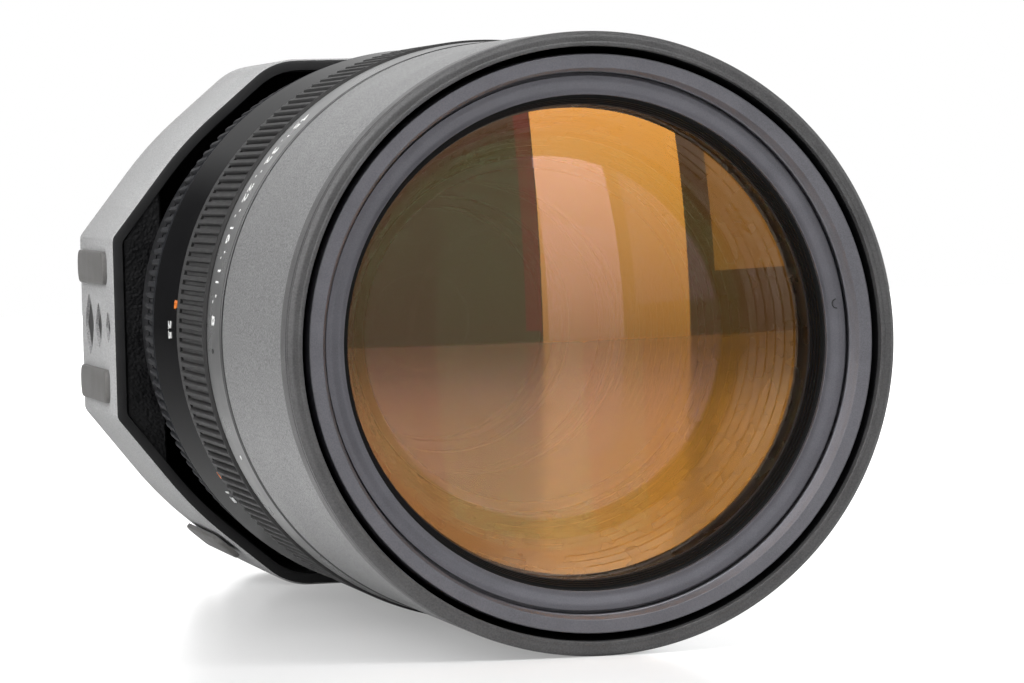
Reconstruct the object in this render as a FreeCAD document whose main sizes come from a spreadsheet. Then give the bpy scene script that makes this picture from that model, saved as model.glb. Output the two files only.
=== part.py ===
import FreeCAD, Part
import math
import os
import Sketcher

# A telephoto prime lens lying on its side. Frame: Y is the optical axis and the
# lens looks along -Y, +X is to the right seen from the front, +Z is up. The origin
# is the centre of the rear mount's flange face. A "station" is a position along Y
# and is negative in front of the flange. All sizes are in millimetres or degrees.

SIZES = {
    # stations of the outside, from front to rear
    "hood_front": -214.9, "bumper_rear": -213.4, "face_front": -214.0,
    "collar_rear": -211.0, "felt_front": -167.5, "hood_rear": -156.7,
    "scale_front": -155.7, "scale_rear": -144.2, "grip_front": -143.1,
    "grip_land_rear": -115.6, "grip_rear": -111.2, "focus_front": -110.0,
    "focus_land_rear": -108.6, "focus_cone_rear": -88.8, "focus_grip_rear": -73.0,
    "index_front": -72.2, "index_rear": -60.0, "barrel_step": -48.0,
    "housing_front": -46.0, "housing_rear": -2.0, "spigot_rear": 5.5,
    # radii of the outside
    "hood_radius": 46.95, "hood_inner_radius": 44.65,
    "felt_radius": 43.4, "face_radius": 43.7, "thread_radius": 41.0,
    "name_radius": 40.4, "name_inner_radius": 37.5, "hood_seat_radius": 43.15,
    "scale_radius": 47.3, "scale_flare": 0.3, "journal_radius": 44.5,
    "grip_radius": 48.0, "grip_bore_radius": 44.8, "focus_radius": 46.3,
    "focus_rear_radius": 48.1, "focus_tail_radius": 47.2, "focus_core_radius": 45.6,
    "focus_bore_radius": 44.3, "index_radius": 45.8,
    "fixed_radius": 44.0, "fixed_bore_radius": 41.3,
    "tube_radius": 41.0, "tube_bore_radius": 38.6, "cell_radius": 39.7,
    "rear_tube_radius": 38.0, "rear_tube_bore_radius": 35.2,
    # ribs of the two ribbed rings
    "rib_count": 184, "groove_half_width": 0.4, "groove_depth": 0.75,
    "focus_rib_count": 150, "focus_groove_half_width": 0.45,
    # rear housing, an octagon with bowed diagonals, and its side trim
    "housing_drop": 0.9, "half_width": 49.0, "half_height": 48.8,
    "side_flat": 16.65, "top_flat": 18.0, "bow_radius": 110.0, "wall": 2.2,
    "recess_half_width": 39.6, "recess_side": 26.4, "recess_knee_x": 21.0,
    "recess_knee_z": 44.0, "recess_top": 14.5, "recess_half_height": 46.6,
    "rear_wall": 3.0, "rear_hole_radius": 33.0, "top_round": 12.0, "side_round": 2.5,
    "panel_depth": 1.2, "panel_half_width": 47.0, "panel_side": 16.0,
    "panel_inner_side": 26.0, "panel_thickness": 0.9,
    "pad_length": 34.0, "pad_height": 6.2, "pad_proud": 1.0, "pad_round": 2.0,
    "pad_offset": 11.0, "pad_rear": -5.0, "foot_offset": 12.0,
    # rear mount
    "flange_radius": 36.0, "throat_radius": 24.0, "spigot_radius": 27.0,
    "neck_radius": 25.4, "register_rear": 2.4, "lug_radius": 26.5, "lug_thickness": 2.2,
    "lug_angle": 52.0, "screw_circle": 32.5, "dot_circle": 33.6, "dot_radius": 1.2,
    # iris
    "iris_front": -131.0, "iris_plate": 1.6, "iris_rear": -120.4,
    "iris_open_radius": 24.4, "iris_rim_radius": 38.8,
    "blade_inner_radius": 24.8, "blade_outer_radius": 33.0, "blade_angle": 76.0,
    "blade_thickness": 0.22, "blade_pitch": 0.4, "pivot_circle": 35.5,
    "pivot_radius": 0.6, "pivot_hole_radius": 0.7, "drive_radius": 0.5,
    "cam_front": -124.2, "cam_thickness": 1.6, "cam_inner_radius": 33.0,
    "cam_outer_radius": 38.6, "slot_half_width": 0.75,
}
BLADES = 9
BLADE_STEP = 360.0 / BLADES
PIVOT_ANGLE = 4.0            # a blade's pivot, measured from the start of its arc
DRIVE_START = (34.3, -2.4)   # a blade's drive pin beside its pivot, x and z, fully open
APERTURE_TURN = 48.0         # travel of the aperture ring
BLADE_TURN = 33.0            # travel of a blade over the same range
LINK_STATION = -121.3        # the pin that joins the aperture ring to the cam ring
LINK_RADIUS = 0.8
ALONG_Y = FreeCAD.Rotation(FreeCAD.Vector(1, 0, 0), -90)

doc = FreeCAD.newDocument("prime_lens")


def make_sheet():
    sheet = doc.addObject("Spreadsheet::Sheet", "dims")
    for row, (alias, number) in enumerate(SIZES.items(), start=1):
        sheet.set("A%d" % row, alias)
        sheet.set("B%d" % row, str(number))
        sheet.setAlias("B%d" % row, alias)
    doc.recompute()


def bound(expression):
    """The expression with every alias written as a cell of the sheet."""
    return " ".join("dims." + word if word in SIZES else word for word in expression.split())


def value(expression):
    """The number that a sum of aliases and numbers stands for."""
    total = 0.0
    sign = 1
    for word in expression.split():
        if word in ("+", "-"):
            sign = 1 if word == "+" else -1
        else:
            total += sign * (SIZES[word] if word in SIZES else float(word))
            sign = 1
    return total


def bind(thing, **expressions):
    for name, expression in expressions.items():
        thing.setExpression(name.replace("__", "."), bound(expression))


def origin_item(body, role):
    return [item for item in body.Origin.OriginFeatures if item.Role == role][0]


def new_sketch(body, name, role):
    sketch = body.newObject("Sketcher::SketchObject", name)
    sketch.AttachmentSupport = (origin_item(body, role), "")
    sketch.MapMode = "FlatFace"
    return sketch


def closed_outline(sketch, corners, bows=None):
    """A closed outline through corners, pairs of expressions for the sketch's own two
    axes. bows maps a side's number to the radius of the outward arc that replaces it."""
    bows = bows or {}
    count = len(corners)
    points = [FreeCAD.Vector(value(a), value(b), 0) for a, b in corners]
    constraints = []
    for side in range(count):
        start, end = points[side], points[(side + 1) % count]
        if side in bows:
            sketch.addGeometry(bowed_side(start, end, value(bows[side])), False)
        else:
            sketch.addGeometry(Part.LineSegment(start, end), False)
        constraints.append(Sketcher.Constraint("Coincident", side, 2, (side + 1) % count, 1))
    for side, point in enumerate(points):
        constraints.append(Sketcher.Constraint("DistanceX", -1, 1, side, 1, point.x))
        constraints.append(Sketcher.Constraint("DistanceY", -1, 1, side, 1, point.y))
    for side in sorted(bows):
        constraints.append(Sketcher.Constraint("Radius", side, value(bows[side])))
    sketch.addConstraint(constraints)
    for side, (first, second) in enumerate(corners):
        sketch.setExpression("Constraints[%d]" % (count + 2 * side), bound(first))
        sketch.setExpression("Constraints[%d]" % (count + 2 * side + 1), bound(second))
    for index, side in enumerate(sorted(bows)):
        sketch.setExpression("Constraints[%d]" % (3 * count + index), bound(bows[side]))


def bowed_side(start, end, radius):
    """The arc from start to end, counter-clockwise, that bulges to the right of its chord."""
    chord = end - start
    middle = (start + end) * 0.5
    left = FreeCAD.Vector(-chord.y, chord.x, 0)
    left.normalize()
    centre = middle + left * math.sqrt(radius ** 2 - (chord.Length / 2) ** 2)
    first = math.atan2(start.y - centre.y, start.x - centre.x)
    last = math.atan2(end.y - centre.y, end.x - centre.x)
    circle = Part.Circle(centre, FreeCAD.Vector(0, 0, 1), radius)
    return Part.ArcOfCircle(circle, first, last)


def new_body(label):
    body = doc.addObject("PartDesign::Body", label)
    body.Label = label
    return body


def turned(label, corners):
    """A ring or tube turned about the optical axis. Each corner is a station and a radius."""
    body = new_body(label)
    sketch = new_sketch(body, label + "_profile", "YZ_Plane")
    closed_outline(sketch, corners)
    revolution = body.newObject("PartDesign::Revolution", label + "_turning")
    revolution.Profile = sketch
    revolution.ReferenceAxis = (sketch, ["H_Axis"])
    revolution.Angle = 360
    body.Tip = revolution
    return body


def ridges(station, radius, next_station, next_radius, count, depth):
    """Corners of a saw-toothed bore: light-trap ridges between two stations."""
    corners = []
    for index in range(count):
        share = index / count
        here = station + (next_station - station) * share
        size = radius + (next_radius - radius) * share
        corners.append(("%.3f" % here, "%.3f" % (size + depth)))
        corners.append(("%.3f" % (here + (next_station - station) / count * 0.85), "%.3f" % size))
    return corners


def pocket(body, sketch, depth=None):
    """Cut a pocket from the sketch towards the rear, through everything if no depth."""
    cut = body.newObject("PartDesign::Pocket", sketch.Name + "_cut")
    cut.Profile = sketch
    if depth is None:
        cut.Type = 1
    else:
        cut.setExpression("Length", bound(depth))
    body.Tip = cut
    return cut


def facing_sketch(body, name, station):
    """A sketch across the optical axis at a station; its own x is X and its own y is Z."""
    sketch = new_sketch(body, name, "XZ_Plane")
    sketch.AttachmentOffset = FreeCAD.Placement(FreeCAD.Vector(0, 0, -value(station)),
                                                FreeCAD.Rotation())
    sketch.setExpression("AttachmentOffset.Base.z", "-(" + bound(station) + ")")
    return sketch


def ribs(body, radius, half_width, station, count_alias):
    """Lengthwise grooves around a ring, cut from a station to its rear end."""
    sketch = facing_sketch(body, body.Label + "_groove", station)
    floor, top = radius + " - groove_depth", radius + " + 1"
    closed_outline(sketch, [("- " + half_width, floor), (half_width, floor),
                            (half_width, top), ("- " + half_width, top)])
    cut = pocket(body, sketch)
    pattern = body.newObject("PartDesign::PolarPattern", body.Label + "_ribs")
    pattern.Originals = [cut]
    pattern.Axis = (sketch, ["N_Axis"])
    pattern.Angle = 360
    pattern.Occurrences = int(SIZES[count_alias])
    pattern.setExpression("Occurrences", bound(count_alias))
    body.Tip = pattern


def radial_holes(body, name, station, from_radius, depth, hole_radius, count, outwards=True):
    """Round holes square to the axis, the first one at the top, evenly spaced around."""
    sketch = new_sketch(body, name, "XY_Plane")
    sketch.AttachmentOffset = FreeCAD.Placement(FreeCAD.Vector(0, 0, from_radius),
                                                FreeCAD.Rotation())
    sketch.addGeometry(Part.Circle(FreeCAD.Vector(0, station, 0), FreeCAD.Vector(0, 0, 1),
                                   hole_radius), False)
    sketch.addConstraint([
        Sketcher.Constraint("DistanceX", -1, 1, 0, 3, 0.0),
        Sketcher.Constraint("DistanceY", -1, 1, 0, 3, station),
        Sketcher.Constraint("Radius", 0, hole_radius)])
    hole = pocket(body, sketch, str(depth))
    hole.Reversed = outwards
    if count > 1:
        pattern = body.newObject("PartDesign::PolarPattern", name + "_pattern")
        pattern.Originals = [hole]
        pattern.Axis = (origin_item(body, "Y_Axis"), [""])
        pattern.Angle = 360
        pattern.Occurrences = count
        body.Tip = pattern


def radial_screws(label, station, from_radius, length, radius, count):
    """Slotless grub screws that fill radial holes, with a hexagon socket each."""
    screws = []
    for number in range(count):
        body = doc.addObject("Part::Cylinder", "%s_body_%d" % (label, number))
        body.Radius = radius
        body.Height = length
        socket = doc.addObject("Part::Prism", "%s_socket_%d" % (label, number))
        socket.Polygon = 6
        socket.Circumradius = radius * 0.6
        socket.Height = length
        for solid, height in ((body, from_radius), (socket, from_radius + length * 0.5)):
            solid.Placement = FreeCAD.Placement(FreeCAD.Vector(0, station, height),
                                                FreeCAD.Rotation())
            turned_by(solid, number * 360.0 / count)
        screws.append(cut("%s_%d" % (label, number), body, socket))
    group(label, screws)


def cylinder(name, radius, station, length, angle=None):
    """A cylinder along the optical axis, or the sector of one."""
    solid = doc.addObject("Part::Cylinder", name)
    solid.Placement = FreeCAD.Placement(FreeCAD.Vector(0, value(station), 0), ALONG_Y)
    bind(solid, Radius=radius, Height=length, Placement__Base__y=station)
    if angle is not None:
        bind(solid, Angle=angle)
    return solid


def at_angle(solid, angle, circle):
    """Move a solid along the optical axis to a place on a circle, 0 at +X and 90 at +Z."""
    place = solid.Placement.Base
    place.x = circle * math.cos(math.radians(angle))
    place.z = circle * math.sin(math.radians(angle))
    solid.Placement.Base = place
    return solid


def turned_by(solid, angle):
    """Turn a solid about the optical axis, from +X towards +Z."""
    turn = FreeCAD.Placement(FreeCAD.Vector(), FreeCAD.Rotation(FreeCAD.Vector(0, -1, 0), angle))
    solid.Placement = turn.multiply(solid.Placement)
    return solid


def box(name, size, centre):
    solid = doc.addObject("Part::Box", name)
    for dimension, expression in zip(("Length", "Width", "Height"), size):
        bind(solid, **{dimension: expression})
    corner = [middle - value(side) / 2 for middle, side in zip(centre, size)]
    solid.Placement.Base = FreeCAD.Vector(*corner)
    return solid


def fused(name, solids):
    whole = doc.addObject("Part::MultiFuse", name)
    whole.Shapes = solids
    return whole


def cut(name, base, tool):
    whole = doc.addObject("Part::Cut", name)
    whole.Base = base
    whole.Tool = tool
    return whole


def group(label, solids):
    """Identical pieces kept in one node as separate solids."""
    whole = doc.addObject("Part::Compound", label)
    whole.Label = label
    whole.Links = solids
    return whole


def element(label, radius, front_edge, rear_edge, front_curve, rear_curve):
    """A lens element between two edge stations. A curve is the radius of a face: positive
    bulges out of the element and negative hollows it."""
    front_apex = front_edge - sagitta(radius, front_curve)
    rear_apex = rear_edge + sagitta(radius, rear_curve)
    start, end = min(front_apex, front_edge), max(rear_apex, rear_edge)
    shape = doc.addObject("Part::Cylinder", label + "_blank")
    shape.Radius = radius
    shape.Height = end - start
    shape.Placement = FreeCAD.Placement(FreeCAD.Vector(0, start, 0), ALONG_Y)
    for side, curve, centre in (("front", front_curve, front_apex + front_curve),
                                ("rear", rear_curve, rear_apex - rear_curve)):
        ball = doc.addObject("Part::Sphere", "%s_%s_ball" % (label, side))
        ball.Radius = abs(curve)
        ball.Placement = FreeCAD.Placement(FreeCAD.Vector(0, centre, 0), ALONG_Y)
        kind = "Part::Common" if curve > 0 else "Part::Cut"
        shaped = doc.addObject(kind, "%s_%s_face" % (label, side))
        shaped.Base = shape
        shaped.Tool = ball
        shape = shaped
    shape.Label = label


def sagitta(rim, curve):
    """How far a face of this radius stands out at its middle; negative for a hollow face."""
    depth = abs(curve) - math.sqrt(curve ** 2 - rim ** 2)
    return math.copysign(depth, curve)


def lens_hood():
    """The sliding hood: a plain shell, its dark bumper ring and the felt it slides on."""
    turned("lens_hood", [
        ("bumper_rear", "hood_inner_radius"), ("bumper_rear", "hood_radius - 0.15"),
        ("bumper_rear + 0.5", "hood_radius"), ("hood_rear - 0.4", "hood_radius + 0.2"),
        ("hood_rear", "hood_radius - 0.2"), ("hood_rear", "hood_inner_radius")])
    turned("hood_bumper_ring", [
        ("hood_front", "hood_inner_radius"), ("hood_front", "hood_radius - 1.0"),
        ("hood_front + 0.3", "hood_radius - 0.4"), ("hood_front + 0.9", "hood_radius - 0.05"),
        ("bumper_rear", "hood_radius - 0.05"), ("bumper_rear", "hood_inner_radius")])
    turned("hood_felt", [
        ("felt_front", "felt_radius"), ("felt_front", "hood_inner_radius"),
        ("hood_rear - 0.6", "hood_inner_radius"), ("hood_rear - 0.6", "felt_radius")])


def front_rings():
    """The filter-thread ring, the front ring that shades the glass edge, and its light trap."""
    turned("filter_ring", [
        ("face_front", "thread_radius + 0.4"), ("face_front", "face_radius - 0.2"),
        ("face_front + 0.2", "face_radius"), ("collar_rear", "face_radius"),
        ("collar_rear", "thread_radius + 0.6"), ("-205.0", "thread_radius + 0.6"),
        ("-205.0", "cell_radius + 0.1"), ("-209.0", "cell_radius + 0.1"),
        ("-209.0", "name_radius + 0.1"), ("-210.5", "name_radius + 0.1"),
        ("-210.5", "thread_radius"), ("face_front + 0.4", "thread_radius")])
    ring = turned("name_ring", [
        ("-210.4", "name_radius"), ("-209.0", "name_radius"), ("-209.0", "38.7"),
        ("-208.9", "38.7"), ("-208.9", "name_inner_radius"), ("-210.0", "name_inner_radius"),
        ("-209.8", "38.2"), ("-210.3", "39.9")])
    sketch = facing_sketch(ring, "name_ring_pin_hole", "-212")
    hole_centre = FreeCAD.Vector(39.1, 4.8, 0)
    sketch.addGeometry(Part.Circle(hole_centre, FreeCAD.Vector(0, 0, 1), 0.6), False)
    sketch.addConstraint([
        Sketcher.Constraint("DistanceX", -1, 1, 0, 3, hole_centre.x),
        Sketcher.Constraint("DistanceY", -1, 1, 0, 3, hole_centre.y),
        Sketcher.Constraint("Radius", 0, 0.6)])
    pocket(ring, sketch)
    turned("front_light_trap", [("-205.6", "39.4"), ("-208.8", "39.4"), ("-208.8", "37.6")]
           + ridges(-208.8, 37.1, -205.6, 36.3, 4, 0.35)[1:] + [("-205.6", "36.2")])


def cells_and_glass():
    """The optical cells, the elements in them and the spacers between the elements."""
    turned("front_cell", [
        ("-205.5", "36.7"), ("-205.5", "cell_radius"), ("-168.0", "cell_radius"),
        ("-168.0", "28.6"), ("-180.2", "28.6"), ("-180.2", "31.7"), ("-187.0", "31.7"),
        ("-187.0", "34.2"), ("-197.4", "34.2"), ("-197.4", "36.7")])
    turned("front_retainer", [
        ("-205.4", "36.1"), ("-205.4", "36.6"), ("-204.5", "36.6"), ("-204.5", "36.1")])
    element("front_element", 36.6, -204.4, -197.4, 240.0, -600.0)
    turned("spacer_front", [
        ("-197.3", "33.0"), ("-197.3", "34.1"), ("-193.1", "34.1"), ("-193.1", "33.0")])
    element("second_element", 34.1, -192.6, -187.0, 110.0, -300.0)
    turned("spacer_rear", [
        ("-186.8", "30.0"), ("-186.8", "31.6"), ("-184.4", "31.6"), ("-184.4", "30.0")])
    element("third_element", 31.6, -184.3, -180.2, -160.0, -78.0)
    turned("front_light_tube", [("-167.9", "28.4"), ("-167.9", "30.5"), ("-132.2", "27.5"),
                                ("-132.2", "25.0")]
           + ridges(-132.2, 24.6, -167.9, 27.6, 12, 0.6)[1:])
    turned("rear_cell", [
        ("-108.0", "22.2"), ("-108.0", "38.5"), ("-104.0", "38.5"), ("-104.0", "25.5"),
        ("-84.0", "23.5"), ("-84.0", "18.0"), ("-86.5", "18.0"), ("-86.5", "20.2"),
        ("-95.0", "20.2"), ("-95.0", "22.2")])
    element("fourth_element", 22.1, -107.0, -103.5, -120.0, 60.0)
    turned("spacer_cell", [
        ("-102.8", "20.6"), ("-102.8", "22.1"), ("-95.2", "22.1"), ("-95.2", "20.6")])
    element("fifth_element", 20.1, -94.2, -86.8, 90.0, 200.0)


def front_barrel():
    """The barrel that travels when focusing: it carries the glass, the iris and the hood.
    Its tail has two open slots for the guide keys, and a window for the aperture link."""
    tube = turned("front_barrel", [
        ("collar_rear", "thread_radius + 0.7"), ("collar_rear", "hood_seat_radius"),
        ("scale_front - 0.5", "hood_seat_radius"), ("scale_front - 0.5", "journal_radius"),
        ("grip_rear + 0.1", "journal_radius"), ("grip_rear + 0.1", "tube_radius"),
        ("-50.0", "tube_radius"), ("-50.0", "tube_bore_radius"),
        ("-112.0", "tube_bore_radius"), ("-112.0", "cell_radius + 0.1"),
        ("-204.9", "cell_radius + 0.1"), ("-204.9", "thread_radius + 0.7")])
    for side in (-1, 1):
        name = "front_barrel_keyway_%s" % ("left" if side < 0 else "right")
        sketch = new_sketch(tube, name, "YZ_Plane")
        sketch.AttachmentOffset = FreeCAD.Placement(FreeCAD.Vector(0, 0, side * 37.0),
                                                    FreeCAD.Rotation())
        closed_outline(sketch, [("-94.0", "-3.0"), ("-49.0", "-3.0"), ("-49.0", "3.0"),
                                ("-94.0", "3.0")])
        slot = tube.newObject("PartDesign::Pocket", name + "_cut")
        slot.Profile = sketch
        slot.Length = 5.0
        slot.Reversed = side > 0
        tube.Tip = slot
    window = new_sketch(tube, "link_window", "XZ_Plane")
    window.AttachmentOffset = FreeCAD.Placement(FreeCAD.Vector(0, 0, 117.3), FreeCAD.Rotation())
    draw_window(window)
    opening = tube.newObject("PartDesign::Pocket", "link_window_cut")
    opening.Profile = window
    opening.Length = 5.0
    opening.Reversed = True
    tube.Tip = opening
    radial_holes(tube, "detent_hole", -114.0, 45.5, 4.5, 1.0, 1, outwards=False)
    detent()
    turned("aperture_scale_ring", [
        ("scale_front", "journal_radius + 0.05"), ("scale_front", "scale_radius - 0.25"),
        ("scale_front + 0.25", "scale_radius"),
        ("scale_rear - 0.25", "scale_radius + scale_flare"),
        ("scale_rear", "scale_radius + scale_flare - 0.25"), ("scale_rear", "journal_radius + 0.05")])


def detent():
    """The click stop of the aperture ring: a ball on a coil spring in the barrel wall."""
    ball = doc.addObject("Part::Sphere", "detent_ball")
    ball.Label = "detent_ball"
    ball.Radius = 0.9
    ball.Placement.Base = FreeCAD.Vector(0, -114.0, 43.88)
    coil = Part.makeHelix(0.5, 1.6, 0.6)
    wire = Part.Circle(FreeCAD.Vector(0.6, 0, 0), FreeCAD.Vector(0, 1, 0.13), 0.15).toShape()
    spring = Part.Wire(coil).makePipeShell([Part.Wire(wire)], True, True)
    spring.translate(FreeCAD.Vector(0, -114.0, 41.17))
    solid = doc.addObject("Part::Feature", "detent_spring")
    solid.Label = "detent_spring"
    solid.Shape = spring


def draw_window(sketch):
    """An arc-shaped window through the barrel wall, above the link pin's whole travel."""
    inner, outer = 36.0, 46.0
    start = math.radians(90.0 - 4.0)
    end = math.radians(90.0 + APERTURE_TURN + 4.0)
    corners = [FreeCAD.Vector(size * math.cos(angle), size * math.sin(angle), 0)
               for size, angle in ((inner, start), (outer, start), (outer, end), (inner, end))]
    middle = (start + end) / 2
    outer_middle = FreeCAD.Vector(outer * math.cos(middle), outer * math.sin(middle), 0)
    inner_middle = FreeCAD.Vector(inner * math.cos(middle), inner * math.sin(middle), 0)
    sketch.addGeometry([
        Part.LineSegment(corners[0], corners[1]),
        Part.Arc(corners[1], outer_middle, corners[2]),
        Part.LineSegment(corners[2], corners[3]),
        Part.Arc(corners[3], inner_middle, corners[0])], False)


def aperture_drive():
    """The ribbed aperture ring, its link pin and the cam ring that moves the blades."""
    ring = turned("aperture_ring", [
        ("grip_front", "grip_bore_radius"), ("grip_front", "grip_radius - 0.6"),
        ("grip_front + 0.6", "grip_radius"), ("grip_land_rear", "grip_radius"),
        ("grip_land_rear + 0.4", "grip_radius - 0.4"), ("grip_rear", "grip_radius - 0.4"),
        ("grip_rear", "grip_bore_radius")])
    ribs(ring, "grip_radius", "groove_half_width", "grip_front + 1.5", "rib_count")
    radial_holes(ring, "aperture_link_hole", LINK_STATION, 43.0, 3.2, LINK_RADIUS, 1)
    pin = doc.addObject("Part::Cylinder", "aperture_link_pin")
    pin.Radius = LINK_RADIUS
    pin.Height = 9.6
    pin.Placement.Base = FreeCAD.Vector(0, LINK_STATION, 36.6)
    foot = box("aperture_link_foot", ("4.0", "1.6", "2.0"), (0, LINK_STATION - 0.5, 36.8))
    fused("aperture_link", [pin, foot]).Label = "aperture_link"
    cam_ring()


def cam_ring():
    """The cam ring behind the blades, with one curved slot for each blade's drive pin."""
    ring = cut("cam_blank", cylinder("cam_disc", "cam_outer_radius", "cam_front", "cam_thickness"),
               cylinder("cam_hole", "cam_inner_radius", "cam_front - 1", "cam_thickness + 2"))
    doc.recompute()
    shape = ring.Shape.copy()
    slot = slot_solid()
    for blade in range(BLADES):
        tool = slot.copy()
        tool.rotate(FreeCAD.Vector(), FreeCAD.Vector(0, -1, 0), blade * BLADE_STEP)
        shape = shape.cut(tool)
    slotted = doc.addObject("Part::Feature", "iris_cam_ring")
    slotted.Label = "iris_cam_ring"
    slotted.Shape = shape
    slotted.Placement = FreeCAD.Placement()


def drive_pin_place(share):
    """Where a blade's drive pin stands on the cam ring, at a share of the full travel."""
    pivot = polar(SIZES["pivot_circle"], PIVOT_ANGLE)
    arm = FreeCAD.Vector(DRIVE_START[0], DRIVE_START[1], 0) - pivot
    spin = FreeCAD.Rotation(FreeCAD.Vector(0, 0, 1), BLADE_TURN * share)
    follow = FreeCAD.Rotation(FreeCAD.Vector(0, 0, 1), -APERTURE_TURN * share)
    return follow.multVec(pivot + spin.multVec(arm))


def polar(size, angle):
    return FreeCAD.Vector(size * math.cos(math.radians(angle)), size * math.sin(math.radians(angle)), 0)


def slot_solid():
    """The space of one cam slot: the pin's path widened by the slot's half width."""
    first, middle, last = (drive_pin_place(share) for share in (0.0, 0.5, 1.0))
    path = Part.Arc(first, middle, last).toShape().Curve
    half = SIZES["slot_half_width"]
    outward = [(point - path.Center).normalize() for point in (first, middle, last)]
    near = [point - away * half for point, away in zip((first, middle, last), outward)]
    far = [point + away * half for point, away in zip((first, middle, last), outward)]
    sense = (middle - first).cross(last - middle).z
    along = [FreeCAD.Vector(-away.y, away.x, 0) * (1 if sense > 0 else -1) for away in outward]
    edges = [Part.Arc(far[0], far[1], far[2]).toShape(),
             Part.Arc(far[2], last + along[2] * half, near[2]).toShape(),
             Part.Arc(near[2], near[1], near[0]).toShape(),
             Part.Arc(near[0], first - along[0] * half, far[0]).toShape()]
    face = Part.Face(Part.Wire(edges))
    solid = face.extrude(FreeCAD.Vector(0, 0, SIZES["cam_thickness"] + 2))
    solid.rotate(FreeCAD.Vector(), FreeCAD.Vector(1, 0, 0), 90)
    solid.translate(FreeCAD.Vector(0, SIZES["cam_front"] + SIZES["cam_thickness"] + 1, 0))
    return solid


def iris():
    """The blade housing, its cover and nine blades, each on its own level."""
    housing = turned("iris_housing", [
        ("iris_front", "iris_open_radius"), ("iris_front", "cell_radius"),
        ("iris_rear", "cell_radius"), ("iris_rear", "iris_rim_radius"),
        ("iris_front + iris_plate", "iris_rim_radius"),
        ("iris_front + iris_plate", "iris_open_radius")])
    sketch = facing_sketch(housing, "iris_pivot_hole", "iris_front")
    pivot = polar(SIZES["pivot_circle"], PIVOT_ANGLE)
    sketch.addGeometry(Part.Circle(pivot, FreeCAD.Vector(0, 0, 1), SIZES["pivot_hole_radius"]), False)
    sketch.addConstraint([
        Sketcher.Constraint("DistanceX", -1, 1, 0, 3, pivot.x),
        Sketcher.Constraint("DistanceY", -1, 1, 0, 3, pivot.y),
        Sketcher.Constraint("Radius", 0, SIZES["pivot_hole_radius"])])
    sketch.setExpression("Constraints[2]", bound("pivot_hole_radius"))
    hole = pocket(housing, sketch, "iris_plate + 0.5")
    window = facing_sketch(housing, "iris_link_gap", "-122.2")
    draw_window(window)
    pocket(housing, window, "6.0")
    pattern = housing.newObject("PartDesign::PolarPattern", "iris_pivot_holes")
    pattern.Originals = [hole]
    pattern.Axis = (sketch, ["N_Axis"])
    pattern.Angle = 360
    pattern.Occurrences = BLADES
    housing.Tip = pattern
    turned("iris_cover", [
        ("-120.3", "iris_open_radius"), ("-120.3", "cell_radius"), ("-119.3", "cell_radius"),
        ("-119.3", "iris_open_radius")])
    for blade in range(BLADES):
        iris_blade(blade)


def iris_blade(number):
    """A thin arc that covers part of the opening, on a pivot pin, with a drive pin beside it."""
    name = "iris_blade_%d" % (number + 1)
    level = "iris_front + iris_plate + %.2f" % (0.3 + number * SIZES["blade_pitch"])
    arc = cylinder(name + "_arc", "blade_outer_radius", level, "blade_thickness", "blade_angle")
    hole = cylinder(name + "_hole", "blade_inner_radius", level + " - 1", "blade_thickness + 2")
    pivot = polar(SIZES["pivot_circle"], PIVOT_ANGLE)
    drive = FreeCAD.Vector(DRIVE_START[0], DRIVE_START[1], 0)
    tab = doc.addObject("Part::Feature", name + "_tab")
    tab.Shape = tab_solid(pivot, drive, value(level))
    pivot_pin = cylinder(name + "_pivot", "pivot_radius", "iris_front + 0.2",
                         level + " - iris_front - 0.1")
    drive_length = "cam_front + cam_thickness - 0.2 - " + level.replace(" + ", " - ")
    drive_pin = cylinder(name + "_drive", "drive_radius", level, drive_length)
    for pin, place in ((pivot_pin, pivot), (drive_pin, drive)):
        pin.Placement.Base = FreeCAD.Vector(place.x, pin.Placement.Base.y, place.y)
    # the arc starts at +X and runs towards +Z
    arc.Placement.Rotation = FreeCAD.Rotation(FreeCAD.Vector(0, -1, 0), SIZES["blade_angle"]).multiply(
        arc.Placement.Rotation)
    plate = cut(name + "_plate", arc, hole)
    whole = fused(name, [plate, tab, pivot_pin, drive_pin])
    whole.Label = name
    turned_by(whole, number * BLADE_STEP)


def tab_solid(pivot, drive, station):
    """The tab that joins a blade's arc to its two pins."""
    half = 1.15
    root_low = polar(30.5, 2.0)
    root_high = polar(30.5, 12.0)
    edge = polar(33.6, 9.5)
    outline = [root_low, drive + FreeCAD.Vector(-half, 0, 0), drive + FreeCAD.Vector(0, -half, 0),
               drive + FreeCAD.Vector(half, 0, 0), pivot + FreeCAD.Vector(half, 0, 0),
               pivot + FreeCAD.Vector(0, half, 0), edge, root_high, root_low]
    face = Part.Face(Part.makePolygon(outline))
    solid = face.extrude(FreeCAD.Vector(0, 0, SIZES["blade_thickness"]))
    solid.rotate(FreeCAD.Vector(), FreeCAD.Vector(1, 0, 0), 90)
    solid.translate(FreeCAD.Vector(0, station + SIZES["blade_thickness"], 0))
    return solid


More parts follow.
